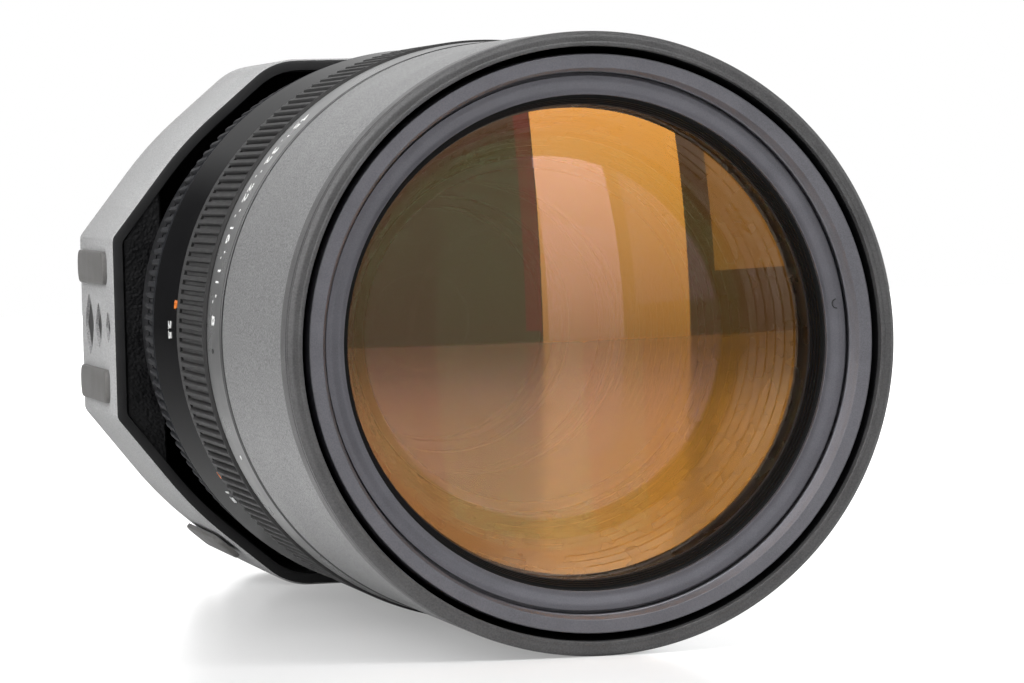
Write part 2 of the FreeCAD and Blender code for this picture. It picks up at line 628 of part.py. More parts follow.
def focus_drive():
    """The focusing ring with its distance scale, the ribbed grip on it and its stop screw."""
    turned("focus_ring", [
        ("focus_front", "fixed_bore_radius"), ("focus_front", "focus_radius - 0.5"),
        ("focus_front + 0.5", "focus_radius"), ("focus_land_rear", "focus_radius"),
        ("focus_cone_rear", "focus_rear_radius"), ("focus_cone_rear", "focus_core_radius"),
        ("focus_grip_rear", "focus_core_radius"), ("focus_grip_rear", "focus_bore_radius"),
        ("-101.0", "focus_bore_radius"), ("-101.0", "fixed_bore_radius")])
    grip = turned("focus_grip", [
        ("focus_cone_rear", "focus_core_radius"), ("focus_cone_rear", "focus_rear_radius - 0.5"),
        ("focus_cone_rear + 0.5", "focus_rear_radius"), ("focus_grip_rear", "focus_tail_radius"),
        ("focus_grip_rear", "focus_core_radius")])
    radial_holes(doc.getObject("focus_ring"), "focus_screw_hole", -107.0, 44.5, 3.0, 1.0, 3)
    radial_screws("focus_ring_screws", -107.0, 44.5, 1.5, 1.0, 3)
    ribs(grip, "focus_tail_radius", "focus_groove_half_width",
         "focus_cone_rear + 1.2", "focus_rib_count")


def fixed_parts():
    """The fixed barrel with its guide keys and index ring, and the rear tube."""
    turned("fixed_barrel", [
        ("-100.6", "fixed_bore_radius"), ("-100.6", "fixed_radius"),
        ("barrel_step", "fixed_radius"), ("barrel_step", "rear_tube_bore_radius"),
        ("barrel_step - 1.6", "rear_tube_bore_radius"), ("barrel_step - 1.6", "fixed_bore_radius")])
    turned("index_ring", [
        ("index_front", "fixed_radius"), ("index_front", "index_radius"),
        ("index_rear", "index_radius - 1.2"), ("index_rear", "fixed_radius")])
    radial_holes(doc.getObject("index_ring"), "index_screw_hole", -64.0, 44.2, 3.0, 0.9, 3)
    radial_screws("index_ring_screws", -64.0, 44.2, 0.9, 0.9, 3)
    turned("rear_tube", [
        ("barrel_step", "rear_tube_bore_radius"), ("barrel_step", "rear_tube_radius"),
        ("housing_rear - rear_wall", "rear_tube_radius"),
        ("housing_rear - rear_wall", "rear_tube_bore_radius")])
    keys = []
    for side in (-1, 1):
        name = "guide_key_%s" % ("left" if side < 0 else "right")
        block = box(name + "_block", ("3.0", "10.0", "5.4"), (side * 40.6, -75.0, 0))
        limit = cylinder(name + "_limit", "fixed_bore_radius", "-81.0", "12.0")
        key = doc.addObject("Part::Common", name)
        key.Base = block
        key.Tool = limit
        keys.append(key)
    group("guide_keys", keys)
    turned("rear_light_trap", [
        ("-44.0", "35.1"), ("-42.0", "35.1"), ("-5.2", "26.9"), ("-5.2", "25.2")]
        + ridges(-5.2, 24.6, -44.0, 33.0, 9, 0.7)[1:])


def housing_outline():
    """Corners of the octagon, counter-clockwise from the right side flat."""
    return [("half_width", "- side_flat"), ("half_width", "side_flat"),
            ("top_flat", "half_height"), ("- top_flat", "half_height"),
            ("- half_width", "side_flat"), ("- half_width", "- side_flat"),
            ("- top_flat", "- half_height"), ("top_flat", "- half_height")]


def rear_housing():
    """The octagonal housing, open in front, with a deep recess round the barrel, two cheeks
    that carry the side panels, and a rear wall for the mount."""
    body = new_body("rear_housing")
    outline = facing_sketch(body, "housing_outline", "housing_rear")
    closed_outline(outline, housing_outline(), {side: "bow_radius" for side in (1, 3, 5, 7)})
    block = body.newObject("PartDesign::Pad", "housing_block")
    block.Profile = outline
    block.setExpression("Length", bound("housing_rear - housing_front"))
    body.Tip = block
    doc.recompute()
    rounded = round_edges(body, block, "side_round", lambda x, z: abs(x) > 45)
    rounded = round_edges(body, rounded, "top_round", lambda x, z: abs(z) > 45)
    recess = facing_sketch(body, "housing_recess", "housing_front")
    closed_outline(recess, eightfold("recess_half_width", "recess_side", "recess_knee_x",
                                     "recess_knee_z", "recess_top", "recess_half_height"))
    pocket(body, recess, "housing_rear - housing_front - rear_wall")
    for side in ("left", "right"):
        seat = facing_sketch(body, "panel_seat_" + side, "housing_front")
        closed_outline(seat, panel_outline(side, "0.1"))
        pocket(body, seat, "panel_depth")
        cavity = facing_sketch(body, "cheek_cavity_" + side, "housing_front")
        sign = "" if side == "right" else "- "
        closed_outline(cavity, [(sign + "41.6", "-13.0"), (sign + "46.4", "-13.0"),
                                (sign + "46.4", "13.0"), (sign + "41.6", "13.0")])
        pocket(body, cavity, "housing_rear - housing_front - rear_wall - 1")
        lozenge_slots(body, side)
    hole = facing_sketch(body, "housing_rear_hole", "housing_front")
    hole.addGeometry(Part.Circle(FreeCAD.Vector(0, 0, 0), FreeCAD.Vector(0, 0, 1),
                                 SIZES["rear_hole_radius"]), False)
    hole.addConstraint([
        Sketcher.Constraint("DistanceX", -1, 1, 0, 3, 0.0),
        Sketcher.Constraint("DistanceY", -1, 1, 0, 3, SIZES["housing_drop"]),
        Sketcher.Constraint("Radius", 0, SIZES["rear_hole_radius"])])
    hole.setExpression("Constraints[1]", bound("housing_drop"))
    hole.setExpression("Constraints[2]", bound("rear_hole_radius"))
    pocket(body, hole)
    bind(body, Placement__Base__z="- housing_drop")


def round_edges(body, feature, radius, wanted):
    """Round the lengthwise edges of the block for which wanted(x, z) holds."""
    names = []
    for index, edge in enumerate(feature.Shape.Edges, start=1):
        ends = [vertex.Point for vertex in edge.Vertexes]
        lengthwise = len(ends) == 2 and abs(ends[0].y - ends[1].y) > 10
        if lengthwise and wanted(ends[0].x, ends[0].z):
            names.append("Edge%d" % index)
    fillet = body.newObject("PartDesign::Fillet", "housing_" + radius)
    fillet.Base = (feature, names)
    fillet.Radius = SIZES[radius]
    fillet.setExpression("Radius", bound(radius))
    body.Tip = fillet
    doc.recompute()
    return fillet


def eightfold(wide, side, knee_x, knee_z, top, tall):
    """A symmetric outline through side, knee and top corners, counter-clockwise."""
    quarter = [(wide, side), (knee_x, knee_z), (top, tall)]
    corners = [(x, z) for x, z in quarter]
    corners += [("- " + x, z) for x, z in reversed(quarter)]
    corners += [("- " + x, "- " + z) for x, z in quarter]
    corners += [(x, "- " + z) for x, z in reversed(quarter)]
    return corners


def panel_outline(side, clearance):
    """The side panel seen from the front; clearance widens it, for its seat."""
    grow = " + " + clearance
    inner, outer = "recess_half_width - 0.1", "panel_half_width" + grow
    corners = [(inner, "- panel_inner_side - " + clearance), (outer, "- panel_side - " + clearance),
               (outer, "panel_side" + grow), (inner, "panel_inner_side" + grow)]
    if side == "right":
        return corners
    mirrored = [("- recess_half_width + 0.1", z) if x == inner
                else ("- panel_half_width - " + clearance, z) for x, z in corners]
    return list(reversed(mirrored))


# station, length and height of each lozenge slot
SLOTS = ((-38.5, 5.6, 5.8), (-26.0, 7.9, 8.6), (-13.2, 11.3, 11.5))


def lozenge_slots(body, side):
    """Three lozenge-shaped slots through a side wall, into the cheek's cavity."""
    sign = 1 if side == "right" else -1
    for number, size in enumerate(SLOTS, start=1):
        name = "slot_%s_%d" % (side, number)
        sketch = new_sketch(body, name, "YZ_Plane")
        sketch.AttachmentOffset = FreeCAD.Placement(FreeCAD.Vector(0, 0, sign * 50.0),
                                                    FreeCAD.Rotation())
        closed_outline(sketch, lozenge(*size))
        slot = body.newObject("PartDesign::Pocket", name + "_cut")
        slot.Profile = sketch
        slot.Length = 5.0
        slot.Reversed = sign < 0
        body.Tip = slot


def lozenge(station, length, height):
    half, tall = length / 2, height / 2
    return [("%.2f" % (station - half), "0.0"), ("%.2f" % station, "%.2f" % -tall),
            ("%.2f" % (station + half), "0.0"), ("%.2f" % station, "%.2f" % tall)]


def housing_trim():
    """The side panels, the rubber pads, the slot inserts and the housing's screws."""
    panels = []
    for side in ("left", "right"):
        body = new_body("side_panel_" + side)
        sketch = facing_sketch(body, "side_panel_%s_outline" % side,
                               "housing_front + panel_depth")
        closed_outline(sketch, panel_outline(side, "0.0"))
        plate = body.newObject("PartDesign::Pad", "side_panel_%s_plate" % side)
        plate.Profile = sketch
        plate.setExpression("Length", bound("panel_thickness"))
        body.Tip = plate
        bind(body, Placement__Base__z="- housing_drop")
        panels.append(body)
    pads = [grip_pad("pad_%s_%s" % (side, height), x, z)
            for side, x in (("left", -1), ("right", 1))
            for height, z in (("upper", 1), ("lower", -1))]
    pads += [foot_pad(side) for side in (-1, 1)]
    group("grip_pads", pads)
    inserts = []
    for side in (-1, 1):
        for number, size in enumerate(SLOTS, start=1):
            insert = doc.addObject("Part::Feature", "insert_%d_%d" % (side + 1, number))
            insert.Shape = insert_solid(side, size)
            inserts.append(insert)
    group("slot_inserts", inserts)


def insert_solid(side, size):
    """A dark plug that fills a lozenge slot to just under the surface."""
    points = [FreeCAD.Vector(0, float(y), float(z)) for y, z in lozenge(*size)]
    face = Part.Face(Part.makePolygon(points + points[:1]))
    solid = face.extrude(FreeCAD.Vector(1.8, 0, 0))
    start = SIZES["half_width"] - 0.5 - 1.8 if side > 0 else -SIZES["half_width"] + 0.5
    solid.translate(FreeCAD.Vector(start, 0, -SIZES["housing_drop"]))
    return solid


def rounded_pad(name):
    """A pad lying flat on the XY plane, rounded at its four corners."""
    plate = doc.addObject("Part::Box", name + "_plate")
    bind(plate, Length="pad_proud", Width="pad_length", Height="pad_height")
    pad = doc.addObject("Part::Fillet", name)
    pad.Base = plate
    doc.recompute()
    corners = [index for index, edge in enumerate(plate.Shape.Edges, start=1)
               if abs(edge.Vertexes[0].X - edge.Vertexes[-1].X) > 0.5]
    pad.Edges = [(index, SIZES["pad_round"], SIZES["pad_round"]) for index in corners]
    return pad


def grip_pad(name, side, level):
    pad = rounded_pad(name)
    x = SIZES["half_width"] if side > 0 else -SIZES["half_width"] - SIZES["pad_proud"]
    z = level * SIZES["pad_offset"] - SIZES["pad_height"] / 2 - SIZES["housing_drop"]
    pad.Placement = FreeCAD.Placement(
        FreeCAD.Vector(x, SIZES["pad_rear"] - SIZES["pad_length"], z), FreeCAD.Rotation())
    return pad


def foot_pad(side):
    """A pad near the lower end of a bowed diagonal face."""
    pad = rounded_pad("foot_pad_%s" % ("left" if side < 0 else "right"))
    low = FreeCAD.Vector(SIZES["top_flat"], 0, -SIZES["half_height"])
    high = FreeCAD.Vector(SIZES["half_width"], 0, -SIZES["side_flat"])
    chord = high - low
    out = FreeCAD.Vector(-chord.z, 0, chord.x).normalize() * -1
    reach = math.sqrt(SIZES["bow_radius"] ** 2 - (chord.Length / 2) ** 2)
    centre = (low + high) * 0.5 - out * reach
    lean = math.asin((chord.Length / 2 - SIZES["foot_offset"]) / SIZES["bow_radius"])
    angle = math.degrees(math.atan2(out.z, out.x) - lean)
    if side < 0:
        angle = 180.0 - angle
        centre.x = -centre.x
    spin = FreeCAD.Rotation(FreeCAD.Vector(0, -1, 0), angle)
    middle = FreeCAD.Vector(SIZES["bow_radius"], 0, 0)
    corner = spin.multVec(middle - FreeCAD.Vector(0, 0, SIZES["pad_height"] / 2)) + centre
    corner.y = SIZES["pad_rear"] - SIZES["pad_length"]
    corner.z -= SIZES["housing_drop"]
    pad.Placement = FreeCAD.Placement(corner, spin)
    return pad


def rear_mount():
    """The bayonet: flange, centring register, neck and three lugs, its screws and red dot."""
    ring = fused("mount_ring", [
        cylinder("mount_plate", "flange_radius", "housing_rear", "0 - housing_rear"),
        cylinder("mount_register", "spigot_radius", "housing_rear",
                 "register_rear - housing_rear"),
        cylinder("mount_neck", "neck_radius", "housing_rear", "spigot_rear - housing_rear")])
    lugs = []
    for number in range(3):
        lug = cylinder("mount_lug_%d" % (number + 1), "lug_radius", "spigot_rear - lug_thickness",
                       "lug_thickness", "lug_angle")
        lugs.append(turned_by(lug, number * 120.0 + 20.0))
    whole = fused("mount_solid", [ring] + lugs)
    bored = cut("mount_flange_blank", whole,
                cylinder("mount_throat", "throat_radius", "housing_rear - 1",
                         "spigot_rear - housing_rear + 2"))
    hollows = []
    screws = []
    for number in range(5):
        angle = number * 72.0 + 90.0
        hole = cylinder("mount_hole_%d" % number, "1.1", "-3.0", "4.0")
        sink = cylinder("mount_sink_%d" % number, "2.0", "-1.2", "2.0")
        hollows += [at_angle(hole, angle, SIZES["screw_circle"]),
                    at_angle(sink, angle, SIZES["screw_circle"])]
        screws.append(mount_screw(number, angle))
    seat = cylinder("mount_dot_seat", "dot_radius + 0.05", "-0.5", "1.0")
    hollows.append(at_angle(seat, 54.0, SIZES["dot_circle"]))
    cut("mount_flange", bored, fused("mount_hollows", hollows)).Label = "mount_flange"
    group("mount_screws", screws)
    dot = cylinder("mount_index_dot", "dot_radius", "-0.5", "0.45")
    at_angle(dot, 54.0, SIZES["dot_circle"]).Label = "mount_index_dot"


def mount_screw(number, angle):
    """A short screw whose cross-slotted head lies just under the flange face."""
    circle = SIZES["screw_circle"]
    head = cylinder("mount_screw_head_%d" % number, "1.9", "-1.2", "1.0")
    shank = cylinder("mount_screw_shank_%d" % number, "1.0", "-2.0", "1.0")
    for solid in (head, shank):
        at_angle(solid, angle, circle)
    place = FreeCAD.Vector(circle * math.cos(math.radians(angle)), -0.2,
                           circle * math.sin(math.radians(angle)))
    slots = []
    for turn in (0, 90):
        slot = box("mount_screw_slot_%d_%d" % (number, turn), ("2.2", "0.6", "0.5"), (0, 0, 0))
        spin = FreeCAD.Rotation(FreeCAD.Vector(0, 1, 0), turn)
        slot.Placement = FreeCAD.Placement(FreeCAD.Vector(), spin).multiply(slot.Placement)
        slot.Placement.Base = slot.Placement.Base + place
        slots.append(slot)
    return cut("mount_screw_%d" % number, fused("mount_screw_blank_%d" % number, [head, shank]),
               fused("mount_screw_cross_%d" % number, slots))


NODES = (
    "lens_hood", "hood_bumper_ring", "hood_felt", "filter_ring", "name_ring",
    "front_light_trap", "front_cell", "front_retainer", "front_element", "spacer_front",
    "second_element", "spacer_rear", "third_element", "front_light_tube", "front_barrel",
    "aperture_scale_ring", "aperture_ring", "aperture_link", "detent_ball", "detent_spring",
    "iris_housing", "iris_cover", "iris_cam_ring", "rear_cell", "fourth_element",
    "spacer_cell", "fifth_element", "focus_ring", "focus_ring_screws", "focus_grip",
    "fixed_barrel", "guide_keys", "index_ring", "index_ring_screws", "rear_tube",
    "rear_light_trap", "rear_housing", "side_panel_left", "side_panel_right", "grip_pads",
    "slot_inserts", "mount_flange", "mount_screws", "mount_index_dot",
) + tuple("iris_blade_%d" % (number + 1) for number in range(BLADES))


def export_nodes():
    os.makedirs("parts", exist_ok=True)
    for item in doc.Objects:
        if "Invalid" in item.State or "Error" in item.State:
            raise RuntimeError("%s did not recompute" % item.Label)
    for label in NODES:
        found = [item for item in doc.Objects if item.Label == label]
        if len(found) != 1:
            raise RuntimeError("%d objects are named %s" % (len(found), label))
        shape = found[0].Shape
        if shape.isNull() or not shape.isValid():
            raise RuntimeError("%s has no valid shape" % label)
        shape.exportStep("parts/%s.step" % label)


make_sheet()
lens_hood()
front_rings()
cells_and_glass()
front_barrel()
aperture_drive()
iris()
focus_drive()
fixed_parts()
rear_housing()
housing_trim()
rear_mount()
doc.recompute()
export_nodes()
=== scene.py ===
"""The looks of a telephoto prime lens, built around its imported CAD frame.

Frame: metres, Y is the optical axis, the lens looks along -Y, +Z is up. Sizes in this file
are in millimetres unless a name says otherwise, and places come from the CAD nodes.
Angles go round the optical axis from +X (0) towards +Z (90).
"""
import math

import bmesh
import bpy
import numpy as np
from mathutils import Matrix, Vector, noise


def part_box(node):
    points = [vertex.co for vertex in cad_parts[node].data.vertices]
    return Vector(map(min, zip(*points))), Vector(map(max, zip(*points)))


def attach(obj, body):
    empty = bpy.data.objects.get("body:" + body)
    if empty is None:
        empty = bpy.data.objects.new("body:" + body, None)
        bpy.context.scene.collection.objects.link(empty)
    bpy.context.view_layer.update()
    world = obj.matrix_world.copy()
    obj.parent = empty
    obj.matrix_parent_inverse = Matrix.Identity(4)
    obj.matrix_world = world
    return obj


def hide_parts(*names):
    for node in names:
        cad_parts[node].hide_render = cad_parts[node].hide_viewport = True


MM = 0.001
ROUND = 360                       # segments round a turned piece
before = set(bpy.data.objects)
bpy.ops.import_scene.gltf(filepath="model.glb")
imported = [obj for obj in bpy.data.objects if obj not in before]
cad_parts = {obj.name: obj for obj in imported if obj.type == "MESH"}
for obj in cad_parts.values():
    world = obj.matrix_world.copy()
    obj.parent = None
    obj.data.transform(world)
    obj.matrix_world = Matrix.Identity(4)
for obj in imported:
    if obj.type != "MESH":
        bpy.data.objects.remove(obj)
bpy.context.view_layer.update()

# the rear housing: its box, half sizes, height of its middle and half width of its recess
HOUSING_LOW, HOUSING_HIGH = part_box("rear_housing")
HALF_WIDTH = HOUSING_HIGH.x / MM
HALF_HEIGHT = (HOUSING_HIGH.z - HOUSING_LOW.z) / 2 / MM
DROP = (HOUSING_HIGH.z + HOUSING_LOW.z) / 2 / MM
CHEEK = 39.6
RIM_SET_BACK = 1.15               # of the side coverings behind the housing's front rim
# the diamond slots: depth, then station along the axis, half length and half height of each
SLOT_DEPTH = 1.5
SLOTS = ((-38.5, 2.8, 2.9), (-26.0, 3.95, 4.3), (-13.2, 5.65, 5.75))
# the filter thread's crest radius, pitch and cut
THREAD_RADIUS, THREAD_PITCH, THREAD_CUT = 41.0, 0.75, 0.4
# the aperture scale: stops from small to large, degrees apart, angle of the largest
STOPS, STOP_STEP, WIDEST_STOP = ("45", "32", "22", "16", "11", "8"), 8.7, 176.0
# the distance scale: numerals in both units, degrees apart, angle of the first
DISTANCES = (("25", "8"), ("15", "5"), ("10", "3"), ("8", "26"), ("6", "20"), ("5", "17"),
             ("4", "13"))
DISTANCE_STEP, FIRST_DISTANCE = 38.0, 179.5
FRONT_GLASS = -205                # station the softboxes are aimed at

# the camera, in the frame of the lens
VIEW_AZIMUTH = -13.0
VIEW_ELEVATION = 2.19
VIEW_ROLL = -1.46
VIEW_DISTANCE = 671.7
VIEW_TARGET = (-12.75, -214.0, 0.83)
FOCAL_LENGTH = 158.2              # on a 36 mm wide sensor


# ---------------------------------------------------------------- measuring the frame

def points_of(node):
    return np.array([v.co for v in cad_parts[node].data.vertices], float) / MM


def ring_size(node):
    """Front station, rear station, bore and rim radius of a round CAD node."""
    points = points_of(node)
    radii = np.hypot(points[:, 0], points[:, 2])
    return points[:, 1].min(), points[:, 1].max(), radii.min(), radii.max()


# ---------------------------------------------------------------- mesh helpers

def placed(name, data):
    """A new object in the scene, with its mesh, curve or camera."""
    made = bpy.data.objects.new(name, data)
    bpy.context.scene.collection.objects.link(made)
    return made


def add_piece(name, vertices, faces, body, finishes, replaced=()):
    """A piece of the lens from points in millimetres, riding on a body. finishes is the name
    of a material, or a list of names."""
    mesh = bpy.data.meshes.new(name)
    mesh.from_pydata((np.asarray(vertices) * MM).tolist(), [], faces)
    mesh.update()
    piece = placed(name, mesh)
    for finish in [finishes] if isinstance(finishes, str) else finishes:
        mesh.materials.append(MATERIALS[finish])
    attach(piece, body)
    if replaced:
        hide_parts(*replaced)
    return piece


def softened(corners, default=0.15, steps=4):
    """A closed profile of (station, radius[, softness]) with rounded corners, and its normals."""
    points, normals = [], []
    count = len(corners)
    for index, corner in enumerate(corners):
        here = np.array(corner[:2], float)
        before = np.array(corners[index - 1][:2], float)
        after = np.array(corners[(index + 1) % count][:2], float)
        back, ahead = before - here, after - here
        room = 0.45 * min(np.linalg.norm(back), np.linalg.norm(ahead))
        soft = min(corner[2] if len(corner) > 2 else default, room)
        back, ahead = back / np.linalg.norm(back), ahead / np.linalg.norm(ahead)
        normal_in = np.array([back[1], -back[0]])
        normal_out = np.array([-ahead[1], ahead[0]])
        for step in range(steps + 1):
            share = step / steps
            spot = (here + back * soft * (1 - share) ** 2 + ahead * soft * share ** 2)
            normal = normal_in * (1 - share) + normal_out * share
            length = np.linalg.norm(normal)
            points.append(spot)
            normals.append(normal / length if length > 1e-6 else normal_in)
    return np.array(points), np.array(normals)


def lathe(name, corners, body, finishes, replaced=(), shades=None):
    """A turned ring. Corners run so that the solid lies on their right: front, rim, rear, bore.
    shades gives the material index of each corner's following side."""
    profile, normals = softened(corners)
    count = len(profile)
    angles = np.linspace(0, 2 * np.pi, ROUND, endpoint=False)
    cos, sin = np.cos(angles)[:, None], np.sin(angles)[:, None]

    def swept(pairs):
        along = np.broadcast_to(pairs[:, 0], (ROUND, count))
        return np.stack([cos * pairs[:, 1], along, sin * pairs[:, 1]], axis=-1).reshape(-1, 3)

    piece = add_piece(name, swept(profile), grid_faces(ROUND, count), body, finishes, replaced)
    shade_exactly(piece.data, swept(normals))
    if shades:
        sides = len(profile) // len(corners)
        indices = [shades[face % count // sides] for face in range(ROUND * count)]
        piece.data.polygons.foreach_set("material_index", indices)
    return piece


def grid_faces(rows, columns, closed_columns=True):
    """Quads between neighbouring points of a grid that closes on itself along its rows."""
    faces = []
    for row in range(rows):
        here, there = row * columns, (row + 1) % rows * columns
        for column in range(columns if closed_columns else columns - 1):
            beside = (column + 1) % columns
            faces.append((here + column, here + beside, there + beside, there + column))
    return faces


def shade_exactly(mesh, directions):
    mesh.polygons.foreach_set("use_smooth", [True] * len(mesh.polygons))
    mesh.normals_split_custom_set_from_vertices(directions.tolist())


def shade_by_angle(mesh, degrees):
    mesh.polygons.foreach_set("use_smooth", [True] * len(mesh.polygons))
    mesh.set_sharp_from_angle(angle=math.radians(degrees))


def radial(name, sections, radius_at, angles, body, finishes, replaced=(),
           sharp=35, shades=None, centre=(0, 0)):
    """A ring whose radius changes with the angle: sections are stations with a key each, and
    radius_at(key, angles) gives the radii of that section."""
    rows = []
    cos, sin = np.cos(angles), np.sin(angles)
    for station, key in sections:
        radii = radius_at(key, angles)
        rows.append(np.stack([centre[0] + cos * radii, np.full(len(angles), station),
                              centre[1] + sin * radii], axis=-1))
    vertices = np.stack(rows, axis=1).reshape(-1, 3)
    piece = add_piece(name, vertices, grid_faces(len(angles), len(sections)), body, finishes,
                      replaced)
    shade_by_angle(piece.data, sharp)
    if shades:
        indices = np.tile(np.array(shades), len(angles))
        piece.data.polygons.foreach_set("material_index", indices)
    return piece


# ---------------------------------------------------------------- materials

MATERIALS = {}


def node(tree, kind, inputs=None, **settings):
    """A new node whose inputs are linked to sockets or set to values."""
    made = tree.nodes.new(kind)
    for key, value in settings.items():
        setattr(made, key, value)
    for key, value in (inputs or {}).items():
        if isinstance(value, bpy.types.NodeSocket):
            tree.links.new(value, made.inputs[key])
        else:
            made.inputs[key].default_value = value
    return made


def new_material(name):
    """A material that joins MATERIALS: its tree and shader, and the place in millimetres."""
    MATERIALS[name] = material = bpy.data.materials.new(name)
    material.use_nodes = True
    tree = material.node_tree
    shader = tree.nodes["Principled BSDF"]
    place = node(tree, "ShaderNodeTexCoord").outputs["Object"]
    scaled = node(tree, "ShaderNodeVectorMath", {0: place, 1: (1 / MM, 1 / MM, 1 / MM)},
                  operation="MULTIPLY").outputs["Vector"]
    return tree, shader, scaled


def noise_at(tree, place, size, detail=3, roughness=0.55):
    """Noise with features of a size in millimetres."""
    return node(tree, "ShaderNodeTexNoise", {"Vector": place, "Scale": 1 / size, "Detail": detail,
                                             "Roughness": roughness}).outputs["Fac"]


def between(tree, factor, low, high, start=0.3, end=0.7):
    """The factor's range from start to end, mapped to the range from low to high."""
    return node(tree, "ShaderNodeMapRange", {"Value": factor, "From Min": start, "From Max": end,
                                             "To Min": low, "To Max": high}).outputs["Result"]


def tone(tree, factor, dark, light, start=0.35, end=0.65):
    """A colour between dark and light as the factor goes from start to end."""
    ramp = node(tree, "ShaderNodeValToRGB", {"Fac": factor})
    ramp.color_ramp.elements[0].position = start
    ramp.color_ramp.elements[0].color = (*dark, 1)
    ramp.color_ramp.elements[1].position = end
    ramp.color_ramp.elements[1].color = (*light, 1)
    return ramp.outputs["Color"]


def raised(tree, shader, height, distance):
    """Bump of a height in millimetres."""
    bump = node(tree, "ShaderNodeBump", {"Height": height, "Distance": distance * MM,
                                         "Strength": 1.0})
    tree.links.new(bump.outputs["Normal"], shader.inputs["Normal"])


def paint(name, dark, light, roughness=(0.4, 0.5), grain=0.3, depth=0.02, metallic=0.0,
          coat=0.0, specular=0.5, patch=6.0, cloud=0.35):
    """Painted, anodised or moulded surfaces: slow colour change, grain and bump."""
    tree, shader, place = new_material(name)
    patches = noise_at(tree, place, patch, 2)
    grains = noise_at(tree, place, grain, 2, 0.6)
    slow = node(tree, "ShaderNodeMath", {0: patches, 1: cloud}, operation="MULTIPLY").outputs[0]
    mixed = node(tree, "ShaderNodeMath", {0: grains, 1: 1 - cloud, 2: slow},
                 operation="MULTIPLY_ADD").outputs[0]
    tree.links.new(tone(tree, mixed, dark, light, 0.36, 0.64), shader.inputs["Base Color"])
    tree.links.new(between(tree, patches, *roughness), shader.inputs["Roughness"])
    raised(tree, shader, grains, depth)
    shader.inputs["Metallic"].default_value = metallic
    shader.inputs["Coat Weight"].default_value = coat
    shader.inputs["Coat Roughness"].default_value = 0.08
    shader.inputs["Specular IOR Level"].default_value = specular


def turned_metal(name, colour, roughness=0.3):
    """Bare metal with fine turning marks round the optical axis."""
    tree, shader, place = new_material(name)
    split = node(tree, "ShaderNodeSeparateXYZ", {"Vector": place})
    square = [node(tree, "ShaderNodeMath", {0: split.outputs[axis], 1: split.outputs[axis]},
                   operation="MULTIPLY").outputs[0] for axis in ("X", "Z")]
    total = node(tree, "ShaderNodeMath", {0: square[0], 1: square[1]}, operation="ADD").outputs[0]
    radius = node(tree, "ShaderNodeMath", {0: total}, operation="SQRT").outputs[0]
    lines = node(tree, "ShaderNodeCombineXYZ", {"X": radius, "Y": split.outputs["Y"]})
    marks = noise_at(tree, lines.outputs["Vector"], 0.12, 2)
    dark = tuple(channel * 0.85 for channel in colour)
    tree.links.new(tone(tree, marks, dark, colour), shader.inputs["Base Color"])
    tree.links.new(between(tree, marks, roughness - 0.06, roughness + 0.06),
                   shader.inputs["Roughness"])
    raised(tree, shader, marks, 0.004)
    shader.inputs["Metallic"].default_value = 1.0


def coated_glass(name, straight, slanting, strength, edge=0.5, through=(0.985, 0.97, 0.95)):
    """An anti-reflection coated lens face: see-through, with a tinted reflection whose colour
    shifts as the surface turns away."""
    tree, shader, place = new_material(name)
    tree.nodes.remove(shader)
    dust = noise_at(tree, place, 9.0, 2)
    haze = between(tree, dust, 0.0, 0.003)
    facing = node(tree, "ShaderNodeLayerWeight", {"Blend": 0.5}).outputs["Facing"]
    tint = tone(tree, facing, straight, slanting, 0.0, 0.06)
    mirror = node(tree, "ShaderNodeBsdfGlossy", {"Color": tint, "Roughness": haze})
    clear = node(tree, "ShaderNodeBsdfTransparent", {"Color": (*through, 1)})
    weight = between(tree, facing, strength, edge, 0.0, 1.0)
    mix = node(tree, "ShaderNodeMixShader", {0: weight, 1: clear.outputs[0], 2: mirror.outputs[0]})
    tree.links.new(mix.outputs[0], tree.nodes["Material Output"].inputs["Surface"])


def pebbled(name, dark, light):
    """Leather-like covering: fine pebbles over the modelled ones."""
    tree, shader, place = new_material(name)
    cells = node(tree, "ShaderNodeTexVoronoi", {"Vector": place, "Scale": 1 / 0.55})
    wear = noise_at(tree, place, 5.0, 2)
    tree.links.new(tone(tree, wear, dark, light), shader.inputs["Base Color"])
    tree.links.new(between(tree, wear, 0.55, 0.7), shader.inputs["Roughness"])
    shader.inputs["Specular IOR Level"].default_value = 0.1
    raised(tree, shader, cells.outputs["Distance"], 0.05)


paint("hood_paint", (0.07, 0.07, 0.071), (0.29, 0.29, 0.292), (0.36, 0.46), grain=0.3, depth=0.09,
      metallic=0.3, patch=18.0, cloud=0.12)
paint("hood_rim", (0.035, 0.034, 0.035), (0.07, 0.069, 0.07), (0.36, 0.5), grain=0.3, depth=0.08)
paint("felt", (0.008, 0.008, 0.009), (0.018, 0.018, 0.02), (0.9, 1.0), grain=0.1, depth=0.08,
      specular=0.1)
paint("front_anodised", (0.1, 0.099, 0.111), (0.142, 0.14, 0.156), (0.36, 0.44), grain=0.16,
      depth=0.008, metallic=0.5)
paint("front_ring_black", (0.1, 0.099, 0.112), (0.14, 0.138, 0.156), (0.36, 0.44), grain=0.16,
      depth=0.008, metallic=0.5)
paint("flat_black", (0.002, 0.002, 0.002), (0.005, 0.005, 0.005), (0.5, 0.6), grain=0.12,
      depth=0.01, specular=0.12)
paint("cell_black", (0.012, 0.012, 0.013), (0.022, 0.022, 0.024), (0.35, 0.5), grain=0.1,
      depth=0.005, specular=0.4)
paint("ridge_black", (0.07, 0.066, 0.062), (0.09, 0.085, 0.08), (0.24, 0.3), grain=0.1,
      depth=0.002, metallic=0.9)
paint("barrel_black", (0.012, 0.012, 0.013), (0.024, 0.024, 0.026), (0.32, 0.42), grain=0.12,
      depth=0.006)
